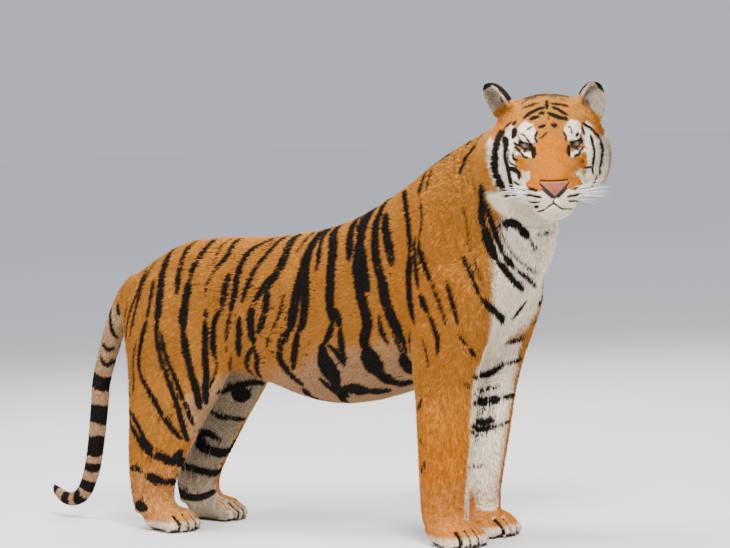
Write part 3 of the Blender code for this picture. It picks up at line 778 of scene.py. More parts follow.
class Stripes:
    """Every stripe, and the shade painted in the clefts between the toes, as points on the skin, each with
    its half width, for asking how dark a place is.
    """

    def __init__(self, surface):
        self.surface, self.points, self.widths = surface, [], []

    def lay(self, view, width, found, taper=TAPER):
        if len(found) < 1:
            return
        width = max(width * BOLDNESS[view], LEAST_HALF[view])
        steps = np.r_[0, np.cumsum(np.linalg.norm(np.diff(found, axis=0), axis=1))]
        ends = np.minimum(steps, steps[-1] - steps) / min(taper, steps[-1] / 2 + 1e-6)
        self.points.append(found)
        self.widths.append(width / 1000 * (STRIPE_END + (1 - STRIPE_END) * np.sqrt(np.clip(ends, 0, 1))))

    def mirror(self, found, seed):
        """The same stripe on her other side, wandering off a little, as no tiger's two sides match."""
        other = found * [1, -1, 1] + [0, 2 * MID_Y, 0]
        other[:, 0] += 0.012 * waves(found, 0.35, seed) + 0.005 * waves(found, 0.12, seed + 1)
        kept = [self.surface.find_nearest(Vector(point)) for point in other]
        return np.array([hit[0] for hit in kept if hit[3] < 0.05]).reshape(-1, 3)

    def over_back(self, found):
        if found[0][2] < OVER_BACK_ABOVE:
            return found
        carried = [self.surface.ray_cast(Vector((x, y, ABOVE_HER)), DOWN)[0] for x, y in to_midline(found)]
        carried = [hit for hit in carried if hit is not None]
        return np.vstack([np.array(carried)[::-1].reshape(-1, 3), found]) if carried else found

    # Painted shade in the clefts between the toes, laid as a stripe is.
    def lay_painted_shade(self, found, halves):
        self.points.append(found)
        self.widths.append(halves)

    def close(self):
        self.places = np.vstack(self.points)
        self.halves = np.concatenate(self.widths)
        self.tree = tree_of(self.places)

    def darkness(self, points):
        """Metres inside the nearest stripe's edge or the edge of painted shade; negative outside all of
        them.
        """
        best = np.full(len(points), NO_MARK)
        for index, point in enumerate(points):
            for _, other, gap in self.tree.find_n(point, 5):
                best[index] = max(best[index], self.halves[other] - gap)
        return best


def toe_cleft_shade(data):
    """The skin's places in the clefts between the toes, where shade is painted dark, and how wide it is
    there.
    """
    points, outward = places(data), normals(data)
    hollow = ((neighbour_mean(points, edge_pairs(data)) - points) * outward).sum(1)
    x, z = points[:, 0], points[:, 2]
    forward = (x > TAIL_START) & (x > np.where(x > 0, FORE_TOES_FROM, HIND_TOES_FROM))
    chosen = (hollow > CLEFT_HOLLOW) & (z < 0.062) & (z > 0.006) & forward
    return points[chosen], 0.0014 + 0.0016 * ramp(hollow[chosen], 0.0004, 0.0012)


def stripes_and_cleft_shade(surface, painted_cleft_shade):
    stripes = Stripes(surface)
    for index, (width, *line) in enumerate(SIDE_STRIPES):
        found = laid(surface, "side", line)
        if len(found) < 2:
            continue
        found = stripes.over_back(found) if line[0][0] > OVER_BACK_AHEAD else found
        stripes.lay("side", width, found)
        stripes.lay("side", width, stripes.mirror(found, SIDE_SEED + index))
    for index, (width, *line) in enumerate(QUARTER_STRIPES):
        found = laid(surface, "quarter", line)
        if len(found) < 2:
            continue
        stripes.lay("quarter", width, found)
        if line[0][0] < REPEATED_BEFORE:
            other = stripes.mirror(found, QUARTER_SEED + index)
            if len(other) > 2:
                other = other[through(HEAD_BACK, other)[:, 0] < BEHIND_HEAD]
                stripes.lay("quarter", width, other)
    for width, *line in FORELEG_STRIPES:
        stripes.lay("quarter", width, laid(surface, "quarter", line), FORELEG_TAPER)
    for width, *line in FACE_STRIPES:
        stripes.lay("face", width, laid(surface, "face", line, 0.0015), FACE_TAPER)
    for width, *line in CROWN_STRIPES:
        stripes.lay("face", width + CROWN_EXTRA, laid(surface, "crown", line, 0.002), CROWN_TAPER)
    for width, *line in TOP_STRIPES:
        stripes.lay("top", width, laid(surface, "top", line))
    for width, *line in TAIL_STRIPES:
        found = laid(surface, "side", line)
        stripes.lay("side", width, found)
        stripes.lay("side", width, stripes.mirror(found, TAIL_SEED))
    # Painted shade in the hollows and the clefts between the toes.
    stripes.lay_painted_shade(*painted_cleft_shade)
    for found in toe_gaps(surface):
        low = found[found[:, 2] < 0.040]
        stripes.lay_painted_shade(low, 0.0022 + 0.0016 * ramp(low[:, 2], 0.034, 0.012))
    stripes.close()
    return stripes


# ---------------------------------------------------------------- ground colours of the coat
# Pale and orange places of the face as ellipses that hold for both of its sides: y and z of the middle in
# the head's axes, half sizes, strength.
FACE_PALE = [
    (0.055, 0.032, 0.022, 0.022, 1.0), (0.066, 0.008, 0.016, 0.012, 0.6),
    (0.066, -0.015, 0.022, 0.0045, 1.0), (0.066, -0.066, 0.010, 0.024, 0.6),
    (0.118, -0.045, 0.034, 0.082, 0.9), (0.088, -0.100, 0.046, 0.034, 0.95),
    (0.036, -0.105, 0.040, 0.021, 1.0), (0.000, -0.150, 0.070, 0.040, 1.0),
    (0.092, 0.016, 0.014, 0.026, 0.8), (0.095, -0.062, 0.018, 0.028, 0.5),
]
FACE_ORANGE = [
    (0.074, -0.036, 0.013, 0.015, 0.9), (0.132, 0.030, 0.026, 0.036, 0.8),
    (0.052, -0.076, 0.016, 0.010, 1.0), (0.028, -0.070, 0.032, 0.012, 1.0),
    (0.000, -0.030, 0.041, 0.060, 1.0),
]
# Pale and deep orange places of the body as ellipsoids about her middle plane: middle, half sizes, strength.
BODY_PALE = [
    ((0.715, 0.0, 0.620), (0.140, 0.120, 0.300), 1.0), ((0.750, -0.03, 0.800), (0.110, 0.095, 0.130), 1.0),
    ((0.560, 0.0, 0.430), (0.200, 0.070, 0.110), 1.0),
]
BODY_RICH = [
    ((0.480, -0.16, 0.620), (0.130, 0.100, 0.260), 0.25),
    ((0.480, 0.16, 0.620), (0.130, 0.100, 0.260), 0.25),
]
BELLY_LINE = (  # x, and the height about which the belly turns pale
    (-0.60, -0.32, -0.25, -0.10, 0.05, 0.20, 0.35, 0.45),
    (0.26, 0.32, 0.385, 0.415, 0.445, 0.475, 0.485, 0.47),
)
TAIL_LINE = (  # x and z of the tail's middle line
    (-0.600, 0.610), (-0.640, 0.545), (-0.676, 0.484), (-0.715, 0.379), (-0.735, 0.293), (-0.755, 0.208),
    (-0.765, 0.150), (-0.778, 0.098), (-0.798, 0.068), (-0.822, 0.060), (-0.870, 0.070), (-0.905, 0.100),
    (-0.935, 0.150), (-0.945, 0.190),
)
# How pale the under-parts become at most, and how far painted shade darkens their pale colour at most. The
# belly's painted shade is a multiple of its paleness.
BELLY_PALE, TAIL_PALE, TOE_PALE, SHIN_PALE, LOW_HIND_PALE, LOW_FORE_PALE = 0.52, 0.52, 0.6, 0.6, 0.25, 0.22
TAIL_PAINTED_SHADE, EAR_PAINTED_SHADE, BELLY_PAINTED_SHADE = 0.85, 0.9, 1.9
NO_MARK = -0.05  # metres: well outside every stripe
RIM_BELOW, RIM_ABOVE = 0.0042, 0.0034  # width of the lids' black rim, and how much wider it is above the eye


def covered(points, ellipses, soft=0.25):
    """How far each point lies in the given ellipses or ellipsoids: 0 outside, their strength well inside."""
    total = np.zeros(len(points))
    for centre, sizes, strength in ellipses:
        reach = np.linalg.norm((points - centre) / sizes, axis=1)
        total = np.maximum(total, strength * ramp(reach, 1 + soft, 1 - soft))
    return total


def face_ground(points):
    """How pale and how deep orange the head is."""
    zone = zones(points)
    local = through(HEAD_BACK, points)
    front = zone["head"] * ramp(local[:, 0], -0.060, -0.020)
    flat = np.column_stack([np.abs(local[:, 1]), local[:, 2]])
    flat += 0.0022 * np.column_stack([waves(points, 0.022, 71), waves(points, 0.022, 72)])
    ellipses = [[(row[:2], row[2:4], row[4]) for row in rows] for rows in (FACE_PALE, FACE_ORANGE)]
    pale, orange = covered(flat, ellipses[0]), covered(flat, ellipses[1])
    under = ramp(local[:, 2], -0.115, -0.145) * front
    return np.maximum(pale * (1 - orange) * front, under), orange * front


def along_tail(points):
    """How far along the tail's middle line each point lies, and the way the line runs there."""
    line = np.array(TAIL_LINE)
    flat = points[:, [0, 2]]
    gap = np.full(len(points), 9.0)
    travel = np.zeros(len(points))
    heading = np.zeros((len(points), 3))
    gone = 0.0
    for start, end in zip(line, line[1:]):
        step = end - start
        length = np.linalg.norm(step)
        t = np.clip((flat - start) @ step / length ** 2, 0, 1)
        here = np.linalg.norm(flat - start - t[:, None] * step, axis=1)
        nearer = here < gap
        gap[nearer] = here[nearer]
        travel[nearer] = gone + t[nearer] * length
        heading[nearer] = [step[0] / length, 0, step[1] / length]
        gone += length
    return travel, heading


def tail_darkness(points):
    travel, _ = along_tail(points)
    middles, _ = along_tail(np.array([(x, 0, z) for x, z, _ in TAIL_RINGS], float) / 1000)
    travel += 0.004 * waves(points, 0.06, 91)
    rings = [half / 1000 - np.abs(travel - ring) for ring, (_, _, half) in zip(middles, TAIL_RINGS)]
    return np.where(points[:, 0] < TAIL_START - 0.02, np.maximum.reduce(rings), NO_MARK)


def ear_darkness(points, outward):
    """The ears' backs and rims are black, with a pale spot on each back; their insides are pale, with shade
    painted dark low in each ear's hollow.
    """
    dark = np.full(len(points), NO_MARK)
    pale = np.zeros(len(points))
    for side, _ in SIDES:
        back = EAR_AXES[side].inverted()
        local, facing = through(back, points), turned(back, outward)
        ear = near_ear(local) * ramp(local[:, 2], 0.012, 0.030)
        front = ramp(facing[:, 0], -0.15, 0.15)
        top = EAR_HEIGHT - EAR_SUNK
        rim = ramp(local[:, 2], top - 0.012, top - 0.005)
        black = np.maximum(1 - front, rim) * ear * ramp(local[:, 2], 0.014, 0.026)
        spot = (1 - front) * ramp(np.linalg.norm(local[:, 1:] - [0, 0.050], axis=1), 0.019, 0.014)
        # Painted shade: dark low in the ear's hollow.
        hollow = front * ear * ramp(np.linalg.norm(local[:, 1:] - [0, 0.030], axis=1), 0.024, 0.006)
        dark = np.maximum(dark, np.where(black * (1 - spot) > 0.5, 0.004, 0.006 * hollow - 0.0055))
        pale = np.maximum(pale, ear * np.maximum(front * (1 - rim), spot))
    return dark, pale


def lid_darkness(points):
    """The black rims round her eyes."""
    dark = np.full(len(points), NO_MARK)
    for _, sign in SIDES:
        local = through(lid_axes(sign).inverted(), points)
        near = (np.linalg.norm(local, axis=1) < 0.032) & (local[:, 0] > 0)
        above = ramp(local[:, 2], -0.002, 0.004)
        rim = RIM_BELOW + RIM_ABOVE * above - lid_gap(local, sign)
        dark = np.where(near, np.maximum(dark, rim), dark)
    return dark


def coat_marks(stripes, points, outward):
    """Darkness in metres inside a stripe's edge or a patch of painted shade, how pale and rich the ground
    is, and how far painted shade darkens it, about 0 to 1.
    """
    zone = zones(points)
    x, z = points[:, 0], points[:, 2]
    dark = np.maximum(stripes.darkness(points), tail_darkness(points))
    ear_dark, ear_pale = ear_darkness(points, outward)
    dark = np.maximum.reduce([dark, ear_dark, lid_darkness(points)])
    wander = 0.018 * waves(points, 0.22, 51)
    trunk = (1 - zone["tail"]) * (1 - zone["head"]) * (1 - zone["ear"])
    under = BELLY_PALE * ramp(z + wander - np.interp(x, *BELLY_LINE), 0.10, -0.05)
    under = under * ramp(x, 0.47, 0.40) * ramp(x, -0.36, -0.28)
    inward = -outward[:, 1] * np.sign(points[:, 1] - MID_Y)
    inner = ramp(inward, 0.05, 0.45) * ramp(z, 0.56, 0.46) * np.where(x > 0, ramp(z, 0.07, 0.16), 1.0)
    front_edge = ramp(outward[:, 0] + 0.6 * inward, 0.75, 1.05) * ramp(z, 0.5, 0.42) * (x > 0.2) * SHIN_PALE
    toes = TOE_PALE * zone["paw"] * ramp(z, 0.044, 0.018)
    low_legs = ramp(z, 0.30, 0.12) * np.where(x < 0, LOW_HIND_PALE, LOW_FORE_PALE)
    tail = TAIL_PALE * zone["tail"] * ramp(z, 0.66, 0.54)
    face_pale, face_orange = face_ground(points)
    from_middle = points - [0, MID_Y, 0]
    chest = covered(from_middle, BODY_PALE) * (1 - zone["head"])
    forelegs = ramp(z, 0.50, 0.15) * ramp(x, 0.1, 0.3)
    pale = np.maximum.reduce([
        chest, face_pale, ear_pale, tail, toes,
        trunk * under, trunk * inner, trunk * front_edge, trunk * low_legs,
    ])
    rich = np.maximum.reduce([
        covered(from_middle, BODY_RICH), face_orange, forelegs, 0.4 * ramp(z, 0.3, 0.1),
    ])
    # Painted shade: the pale colour is darkened on the lower tail, the inner faces of the hind legs, the
    # belly and the ears.
    painted_shade = np.maximum.reduce([
        TAIL_PAINTED_SHADE * zone["tail"] * ramp(z, 0.66, 0.50), trunk * inner * ramp(x, 0.0, -0.1),
        BELLY_PAINTED_SHADE * trunk * under, EAR_PAINTED_SHADE * zone["ear"],
    ])
    return {"dark": dark, "pale": pale, "rich": rich * (1 - pale), "painted_shade": painted_shade}


# ---------------------------------------------------------------- materials
class Term:
    """A number or colour that runs through a material, with the usual signs between terms."""

    def __init__(self, finish, socket):
        self.finish, self.socket = finish, socket

    def _sum(self, operation, first, second):
        return self.finish.node("ShaderNodeMath", {"operation": operation}, {0: first, 1: second})

    def __add__(self, other):
        return self._sum("ADD", self, other)

    def __radd__(self, other):
        return self._sum("ADD", other, self)

    def __sub__(self, other):
        return self._sum("SUBTRACT", self, other)

    def __rsub__(self, other):
        return self._sum("SUBTRACT", other, self)

    def __mul__(self, other):
        return self._sum("MULTIPLY", self, other)

    def __rmul__(self, other):
        return self._sum("MULTIPLY", other, self)

    def step(self, low, high):
        """0 at low, 1 at high, smooth between."""
        inputs = {"Value": self, 1: low, 2: high, 3: 0.0, 4: 1.0}
        return self.finish.node("ShaderNodeMapRange", {"interpolation_type": "SMOOTHSTEP"}, inputs)


class Finish:
    """One material, built node by node."""

    def __init__(self, name):
        self.material = bpy.data.materials.new(name)
        self.material.use_nodes = True
        self.tree = self.material.node_tree
        self.shader = self.tree.nodes["Principled BSDF"]
        self.place = self.node("ShaderNodeTexCoord", {}, {}, "Object")

    def node(self, kind, settings, inputs, output=0):
        made = self.tree.nodes.new(kind)
        for name, value in settings.items():
            setattr(made, name, value)
        for name, value in inputs.items():
            self.feed(made.inputs[name], value)
        return Term(self, made.outputs[output])

    def feed(self, socket, value):
        if isinstance(value, Term):
            self.tree.links.new(value.socket, socket)
        elif socket.type == "RGBA" and len(value) == 3:
            socket.default_value = (*value, 1.0)
        else:
            socket.default_value = value

    def attribute(self, name):
        return self.node("ShaderNodeAttribute", {"attribute_name": name}, {}, "Fac")

    def noise(self, scale, detail=3.0, stretch=(1.0, 1.0, 1.0)):
        spread = self.node("ShaderNodeMapping", {}, {"Vector": self.place, "Scale": stretch})
        inputs = {"Vector": spread, "Scale": scale, "Detail": detail}
        return self.node("ShaderNodeTexNoise", {}, inputs, "Fac")

    def blend(self, amount, first, second, way="MIX"):
        settings = {"data_type": "RGBA", "blend_type": way}
        return self.node("ShaderNodeMix", settings, {0: amount, 6: first, 7: second}, 2)

    def bump(self, height, distance, strength):
        inputs = {"Height": height, "Distance": distance, "Strength": strength}
        return self.node("ShaderNodeBump", {}, inputs, "Normal")

    def set(self, **values):
        """Sockets of the surface shader, spaces written as underscores."""
        for name, value in values.items():
            self.feed(self.shader.inputs[name.replace("_", " ")], value)
        return self.material


ORANGE, DEEP_ORANGE, BRIGHT_ORANGE = (0.42, 0.165, 0.024), (0.34, 0.115, 0.012), (0.47, 0.140, 0.005)
# The second cream is the first one in painted shade.
CREAM, CREAM_IN_PAINTED_SHADE = (0.86, 0.75, 0.58), (0.31, 0.235, 0.155)
STRIPE_BLACK, STRIPE_BROWN = (0.010, 0.008, 0.007), (0.10, 0.045, 0.016)
SOLE_BLACK = (0.03, 0.024, 0.022)
# The nostril colour is painted shade inside the nostrils' openings.
LEATHER_PINK, LEATHER_RED, NOSTRIL_PAINTED_SHADE = (0.25, 0.068, 0.020), (0.16, 0.043, 0.024), (0.012, 0.009, 0.009)
IRIS_OLIVE, IRIS_DARK, IRIS_RIM = (0.11, 0.095, 0.04), (0.05, 0.04, 0.018), (0.03, 0.022, 0.012)
PUPIL_BLACK, EYE_BROWN = (0.003, 0.003, 0.003), (0.05, 0.032, 0.024)
WHISKER_WHITE, WHISKER_CREAM = (0.85, 0.82, 0.76), (0.70, 0.66, 0.58)
HORN_DARK, HORN_PALE = (0.16, 0.12, 0.09), (0.42, 0.35, 0.27)
FLOOR_GREY, FLOOR_LIGHT, FLOOR_FAR = (0.66, 0.65, 0.63), (0.72, 0.71, 0.69), (0.96, 0.96, 0.96)
SKY = (0.86, 0.90, 1.0, 1.0)
FUR_SHEEN = 0.08


def coat_colour(finish):
    """Orange or cream ground with stripes and painted shade, from the marks stored on the surface."""
    patchy = finish.noise(9.0)
    mottled = finish.noise(70.0)
    ground = finish.blend(patchy.step(0.35, 0.70) * 0.35, ORANGE, DEEP_ORANGE)
    ground = finish.blend(finish.attribute("rich"), ground, BRIGHT_ORANGE)
    # The cream ground, darkened where shade is painted on it.
    light = finish.blend(finish.attribute("painted_shade"), CREAM, CREAM_IN_PAINTED_SHADE)
    ground = finish.blend((finish.attribute("pale") + (mottled - 0.5) * 0.3).step(0.15, 0.85), ground, light)
    ragged = finish.attribute("dark") + (finish.noise(160.0) - 0.5) * 0.0025
    ground = finish.blend(ragged.step(-0.0024, 0.0003) * 0.5, ground, STRIPE_BROWN)
    return finish.blend(ragged.step(-0.0008, 0.0012), ground, STRIPE_BLACK)


def skin_finish():
    finish = Finish("striped_hide")
    colour = finish.blend(finish.attribute("bare"), coat_colour(finish), SOLE_BLACK)
    hairs = finish.noise(420.0, 4.0, (0.35, 1.0, 0.8)) + finish.noise(1300.0, 2.0, (0.4, 1.0, 0.7)) * 0.5
    bump = finish.bump(hairs, 0.0012, 0.8)
    return finish.set(Base_Color=colour, Roughness=0.85, Specular_IOR_Level=FUR_SHEEN, Normal=bump)


def coat_finish():
    finish = Finish("fur_tufts")
    colour = coat_colour(finish)
    # Each tuft gets a random tone. It is also darker at its root, as painted shade among the hairs, and
    # lighter towards its tip.
    shade = finish.attribute("shade") * 0.5 + finish.attribute("along") * 0.55 + 0.45
    tinted = finish.node("ShaderNodeCombineColor", {}, {0: shade, 1: shade, 2: shade})
    colour = finish.blend(1.0, colour, tinted, "MULTIPLY")
    fine = finish.noise(2600.0, 1.0)
    bump = finish.bump(fine, 0.0003, 0.4)
    return finish.set(Base_Color=colour, Roughness=0.8, Specular_IOR_Level=FUR_SHEEN, Normal=bump)


# ---------------------------------------------------------------- coat
TUFTS = {
    "face": 46000, "head": 44000, "chest": 46000, "flank_right": 36000, "flank_left": 36000,
    "rump_right": 36000, "rump_left": 36000, "forelegs": 30000, "hind_legs": 30000, "tail": 14000,
}
REGION = {name: number for number, name in enumerate(TUFTS)}
RUMP_BEHIND = 0.06  # x that parts her hind quarters from the flanks and the forelegs
NOSE_TIP = (0.205, 0.0, -0.080)  # the fur of the head lies away from here
TRUNK_TUFT = 0.0108  # length in metres, as the next ones
CHEST_EXTRA, BELLY_EXTRA, RUFF_EXTRA = 0.005, 0.006, 0.009
ZONE_TUFTS = {"limb": 0.009, "paw": 0.006, "tail": 0.011, "head": 0.011}
FACE_TUFT, MUZZLE_TUFT, EAR_TUFT = 0.0062, 0.0042, 0.009
TUFT_SLENDER, TUFT_NARROWEST, TUFT_WIDEST = 0.23, 0.0011, 0.0031  # width as a share of length; its limits
ROOT_SUNK, CREST = 0.0006, 0.45  # how deep a root is set; the height of its ridge as a share of its width
TIP_LIFT, RUFF_LIFT, EAR_LIFT = 0.0006, 0.005, 0.002  # how far tips stand off beyond the coat's depth
TIP_ABOVE_FLOOR = 0.0003
MARKS_LOW, MARKS_BETWEEN, MARKS_TIP = 0.4, 0.62, 0.85  # shares of a tuft's length where its marks are read
TIP_LIGHTER, STRAGGLE = 0.0006, 0.0006  # off a stripe's edge: at every tip, and by chance at each tuft
BAKE_PATCH = 0.003  # of the bake map, for one tuft
FRAME_EDGE, FRAME_FILL = 0.03, 0.94  # of each of the bake map's six views


def region_numbers(points):
    """The coat's region that each point belongs to, numbered in the order of TUFTS."""
    zone = zones(points)
    x, y, z = points.T
    flank = np.where(y < MID_Y, REGION["flank_right"], REGION["flank_left"])
    rump = np.where(y < MID_Y, REGION["rump_right"], REGION["rump_left"])
    found = np.where(x > RUMP_BEHIND, flank, rump)
    found[(x > 0.43) & (z > 0.42)] = REGION["chest"]
    found[(z < 0.335) | ((x > 0.38) & (z < 0.42))] = REGION["forelegs"]
    found[(found == REGION["forelegs"]) & (x < RUMP_BEHIND)] = REGION["hind_legs"]
    found[x < TAIL_START] = REGION["tail"]
    found[zone["head"] + zone["ear"] > 0.5] = REGION["head"]
    found[zone["face"] > 0.5] = REGION["face"]
    return found


def mixed(first, second, amount):
    """Each row of the first, carried by its own amount towards the second, which may be one row for all."""
    return first + (second - first) * amount[:, None]


def comb(points, outward):
    """The way the coat lies at each point: along the skin, a unit long."""
    zone = zones(points)
    x, _, z = points.T
    count = len(points)
    ways = (
        ((-1.0, 0.0, 0.0), ramp(outward[:, 2], -0.3, -0.8)),  # under the belly
        ((-0.55, 0.0, -1.0), ramp(x, 0.34, 0.50)),  # shoulder and neck
        ((0.0, 0.0, -1.0), ramp(x, 0.45, 0.6) * ramp(outward[:, 0], 0.1, 0.6)),  # chest
        ((-0.25, 0.0, -1.0), ramp(x, -0.30, -0.50) * ramp(z, 0.72, 0.60)),  # thigh
        ((-0.15, 0.0, -1.0), zone["limb"]),
        ((0.8, 0.0, -0.6), zone["paw"]),
        (along_tail(points)[1], zone["tail"]),
    )
    lie = np.tile([-1.0, 0.0, -0.55], (count, 1))
    for way, amount in ways:
        lie = mixed(lie, way, amount)
    local = through(HEAD_BACK, points)
    away = unit(local - NOSE_TIP)
    away = mixed(away, (-0.6, 0.0, -1.0), ramp(local[:, 2], -0.125, -0.15) * 0.8)
    away[:, 2] -= 0.35 * ramp(np.abs(local[:, 1]), 0.08, 0.12) * ramp(local[:, 2], 0.02, -0.05)
    lie = mixed(lie, turned(HEAD, away), zone["head"])
    for side, sign in SIDES:
        axes = EAR_AXES[side]
        facing = turned(axes.inverted(), outward)
        mine = zone["ear"] * (np.sign(local[:, 1]) == sign)
        up = turned(axes, np.column_stack([0.5 * (facing[:, 0] > 0), np.zeros(count), np.ones(count)]))
        lie = mixed(lie, up, mine)
    flat = lie - outward * (lie * outward).sum(1)[:, None]
    return unit(flat)


def tuft_sizes(points, outward):
    """Length of each tuft, and how far its tip stands off the skin, in metres."""
    zone = zones(points)
    x, _, z = points.T
    local = through(HEAD_BACK, points)
    belly = ramp(outward[:, 2], -0.4, -0.9) * ramp(z, 0.3, 0.4)
    length = TRUNK_TUFT + CHEST_EXTRA * ramp(x, 0.40, 0.55) + BELLY_EXTRA * belly
    for name, size in ZONE_TUFTS.items():
        length += (size - length) * zone[name]
    ruff = zone["head"] * ramp(np.abs(local[:, 1]), 0.085, 0.115)
    ruff = ruff * ramp(local[:, 2], 0.03, -0.04) * ramp(local[:, 0], 0.08, 0.02)
    length += (FACE_TUFT - length) * zone["face"] * (1 - ruff)
    length += RUFF_EXTRA * ruff
    muzzle = ramp(local[:, 0], 0.13, 0.17) * zone["face"]
    length += (MUZZLE_TUFT - length) * muzzle
    length += (EAR_TUFT - length) * zone["ear"]
    lift = coat_depth(points) + RUFF_LIFT * ruff + EAR_LIFT * zone["ear"] + TIP_LIFT
    return length, lift


def corner_array(data):
    data.calc_loop_triangles()
    flat = np.empty(len(data.loop_triangles) * 3, np.int32)
    data.loop_triangles.foreach_get("vertices", flat)
    return flat.reshape(-1, 3)


def scattered(data, numbers, region, count, rng):
    """Random roots on one region's skin, as many on each triangle as its area earns, with their normals."""
    points, outward = places(data), normals(data)
    corners = corner_array(data)
    mine = corners[numbers[corners[:, 0]] == region]
    first, second, third = points[mine[:, 0]], points[mine[:, 1]], points[mine[:, 2]]
    area = np.linalg.norm(np.cross(second - first, third - first), axis=1)
    chosen = np.searchsorted(np.cumsum(area) / area.sum(), rng.random(count))
    u, v = rng.random(count), rng.random(count)
    over = u + v > 1
    u[over], v[over] = 1 - u[over], 1 - v[over]
    weight = np.column_stack([1 - u - v, u, v])
    roots = (points[mine[chosen]] * weight[:, :, None]).sum(1)
    facing = unit((outward[mine[chosen]] * weight[:, :, None]).sum(1))
    return roots, facing


def bare_places(points, outward):
    """1 where no fur grows: the eyelids' edges and the soles."""
    bare = (points[:, 2] < 0.010) & (outward[:, 2] < -0.35)
    for _, sign in SIDES:
        local = through(lid_axes(sign).inverted(), points)
        near = (np.linalg.norm(local, axis=1) < 0.030) & (local[:, 0] > 0)
        bare |= near & (lid_gap(local, sign) < LID_BARE)
    return bare.astype(float)


def bake_corners(roots, outward):
    """Where each root lies on the bake map: six views of the region's own skin, side by side."""
    axis = np.abs(outward).argmax(1)
    view = axis * 2 + (outward[np.arange(len(roots)), axis] > 0)
    low = roots.min(0)
    spread = (roots - low) / (roots.max(0) - low).max()
    across = np.where(axis == 0, spread[:, 1], spread[:, 0])
    upward = np.where(axis == 2, spread[:, 1], spread[:, 2])
    column = (view % 3 + FRAME_EDGE + FRAME_FILL * across) / 3
    row = (view // 3 + FRAME_EDGE + FRAME_FILL * upward) / 2
    return np.column_stack([column, row])


def mesh_of(name, points, corners):
    data = bpy.data.meshes.new(name)
    data.vertices.add(len(points))
    data.vertices.foreach_set("co", points.astype(np.float32).ravel())
    data.loops.add(corners.size)
    data.loops.foreach_set("vertex_index", corners.astype(np.int32).ravel())
    data.polygons.add(len(corners))
    data.polygons.foreach_set("loop_start", np.arange(0, corners.size, 3, dtype=np.int32))
    data.update(calc_edges=True)
    return data


def tufts(body, surface, stripes, numbers, region, name, count, material):
    """One region's coat: closed spikes of four faces each that lie along the skin, as one mesh."""
    rng = np.random.default_rng(SEED * 100 + region)
    roots, outward = scattered(body.data, numbers, region, count, rng)
    keep = (bare_places(roots, outward) < 0.5) & ~on_nose(roots)
    roots, outward = roots[keep], outward[keep]
    count = len(roots)
    length, lift = tuft_sizes(roots, outward)
    length *= rng.uniform(0.7, 1.25, count)
    lift *= rng.uniform(0.45, 1.15, count)
    lie = comb(roots, outward)
    side = np.cross(outward, lie)
    clump = 0.35 * waves(roots, 0.030, 60 + region) + 0.2 * rng.normal(size=count)
    lie = unit(lie + side * clump[:, None])
    side = np.cross(outward, lie)
    tips = roots + lie * length[:, None]
    for index, tip in enumerate(tips):
        place, facing = surface.find_nearest(tip)[:2]
        tips[index] = np.array(place) + np.array(facing) * lift[index]
    tips[:, 2] = np.maximum(tips[:, 2], TIP_ABOVE_FLOOR)
    width = np.clip(length * TUFT_SLENDER, TUFT_NARROWEST, TUFT_WIDEST)[:, None]
    width = width * rng.uniform(0.8, 1.25, (count, 1))
    low = roots - outward * ROOT_SUNK
    ridge = low + outward * (ROOT_SUNK + width * CREST)
    points = np.stack([low + side * width / 2, low - side * width / 2, ridge, tips], 1)
    points[:, :, 2] = np.maximum(points[:, :, 2], 0.0)
    corners = np.array([[0, 1, 3], [1, 2, 3], [2, 0, 3], [0, 2, 1]])
    corners = (np.arange(count)[:, None, None] * 4 + corners).reshape(-1, 3)
    data = mesh_of(name, points.reshape(-1, 3), corners)
    low_marks = coat_marks(stripes, roots + (tips - roots) * MARKS_LOW, outward)
    tip_marks = coat_marks(stripes, roots + (tips - roots) * MARKS_TIP, outward)
    between = stripes.darkness(roots + (tips - roots) * MARKS_BETWEEN)
    low_marks["dark"] = np.maximum(low_marks["dark"], between)
    tip_marks["dark"] = np.maximum(tip_marks["dark"], between - TIP_LIGHTER)
    for mark, values in low_marks.items():
        straggle = STRAGGLE * rng.normal(size=count) if mark == "dark" else 0.0
        pair = np.column_stack([values, values, values, tip_marks[mark]])
        store(data, mark, (pair + np.reshape(straggle, (-1, 1))).ravel())
    store(data, "shade", np.repeat(rng.uniform(0, 1, count), 4))
    # 0 at a tuft's root, 1 at its tip: the material paints shade towards the root from this.
    store(data, "along", np.tile([0.0, 0.0, 0.25, 1.0], count))
    patch = np.array([[0.1, 0.05], [0.9, 0.05], [0.5, 0.35], [0.5, 0.95]]) * BAKE_PATCH - BAKE_PATCH / 2
    spots = (bake_corners(roots, outward)[:, None] + patch[None]).reshape(-1, 2)
    layer = data.uv_layers.new(name="OFBake")
    layer.data.foreach_set("uv", spots[corners.ravel()].astype(np.float32).ravel())
    data.materials.append(material)
    piece = bpy.data.objects.new(name, data)
    bpy.context.scene.collection.objects.link(piece)
    return piece


# ---------------------------------------------------------------- nose leather
# In the head's axes: z, and half the leather's width there.
LEATHER_EDGE = ((-0.106, -0.100, -0.085, -0.071, -0.064), (0.006, 0.0125, 0.028, 0.038, 0.036))
NOSTRILS = ((37, -70), (30, -77), (20, -86), (10, -95), (3, -103))  # each one's slit: y and z in millimetres
NOSTRIL_HALF, NOSTRIL_DEPTH = 0.0040, 0.006
NOSE_VOXEL, NOSE_ROUNDS, NOSE_SWELL = 0.0010, 8.0, 0.0012


def nose_source():
    mesh = bmesh.new()
    swollen_copy(mesh, "nose")
    return mesh


NOSE_SHAPE = nose_source()
NOSE_SURFACE = BVHTree.FromBMesh(NOSE_SHAPE)


def on_nose(points):
    """True where the nose leather covers the skin."""
    local = through(HEAD_BACK, points)
    front = (local[:, 0] > 0.16) & (np.abs(local[:, 1]) < 0.045)
    near = np.nonzero(front & (np.abs(local[:, 2] + 0.085) < 0.03))[0]
    found = np.zeros(len(points), bool)
    for index in near:
        found[index] = NOSE_SURFACE.find_nearest(Vector(points[index]))[3] < 0.0045
    return found & (beyond_leather(local) < 0)


def beyond_leather(local):
    """How far outside the leather's outline a point lies, seen from the front."""
    return np.abs(local[:, 1]) - np.interp(local[:, 2], *LEATHER_EDGE)


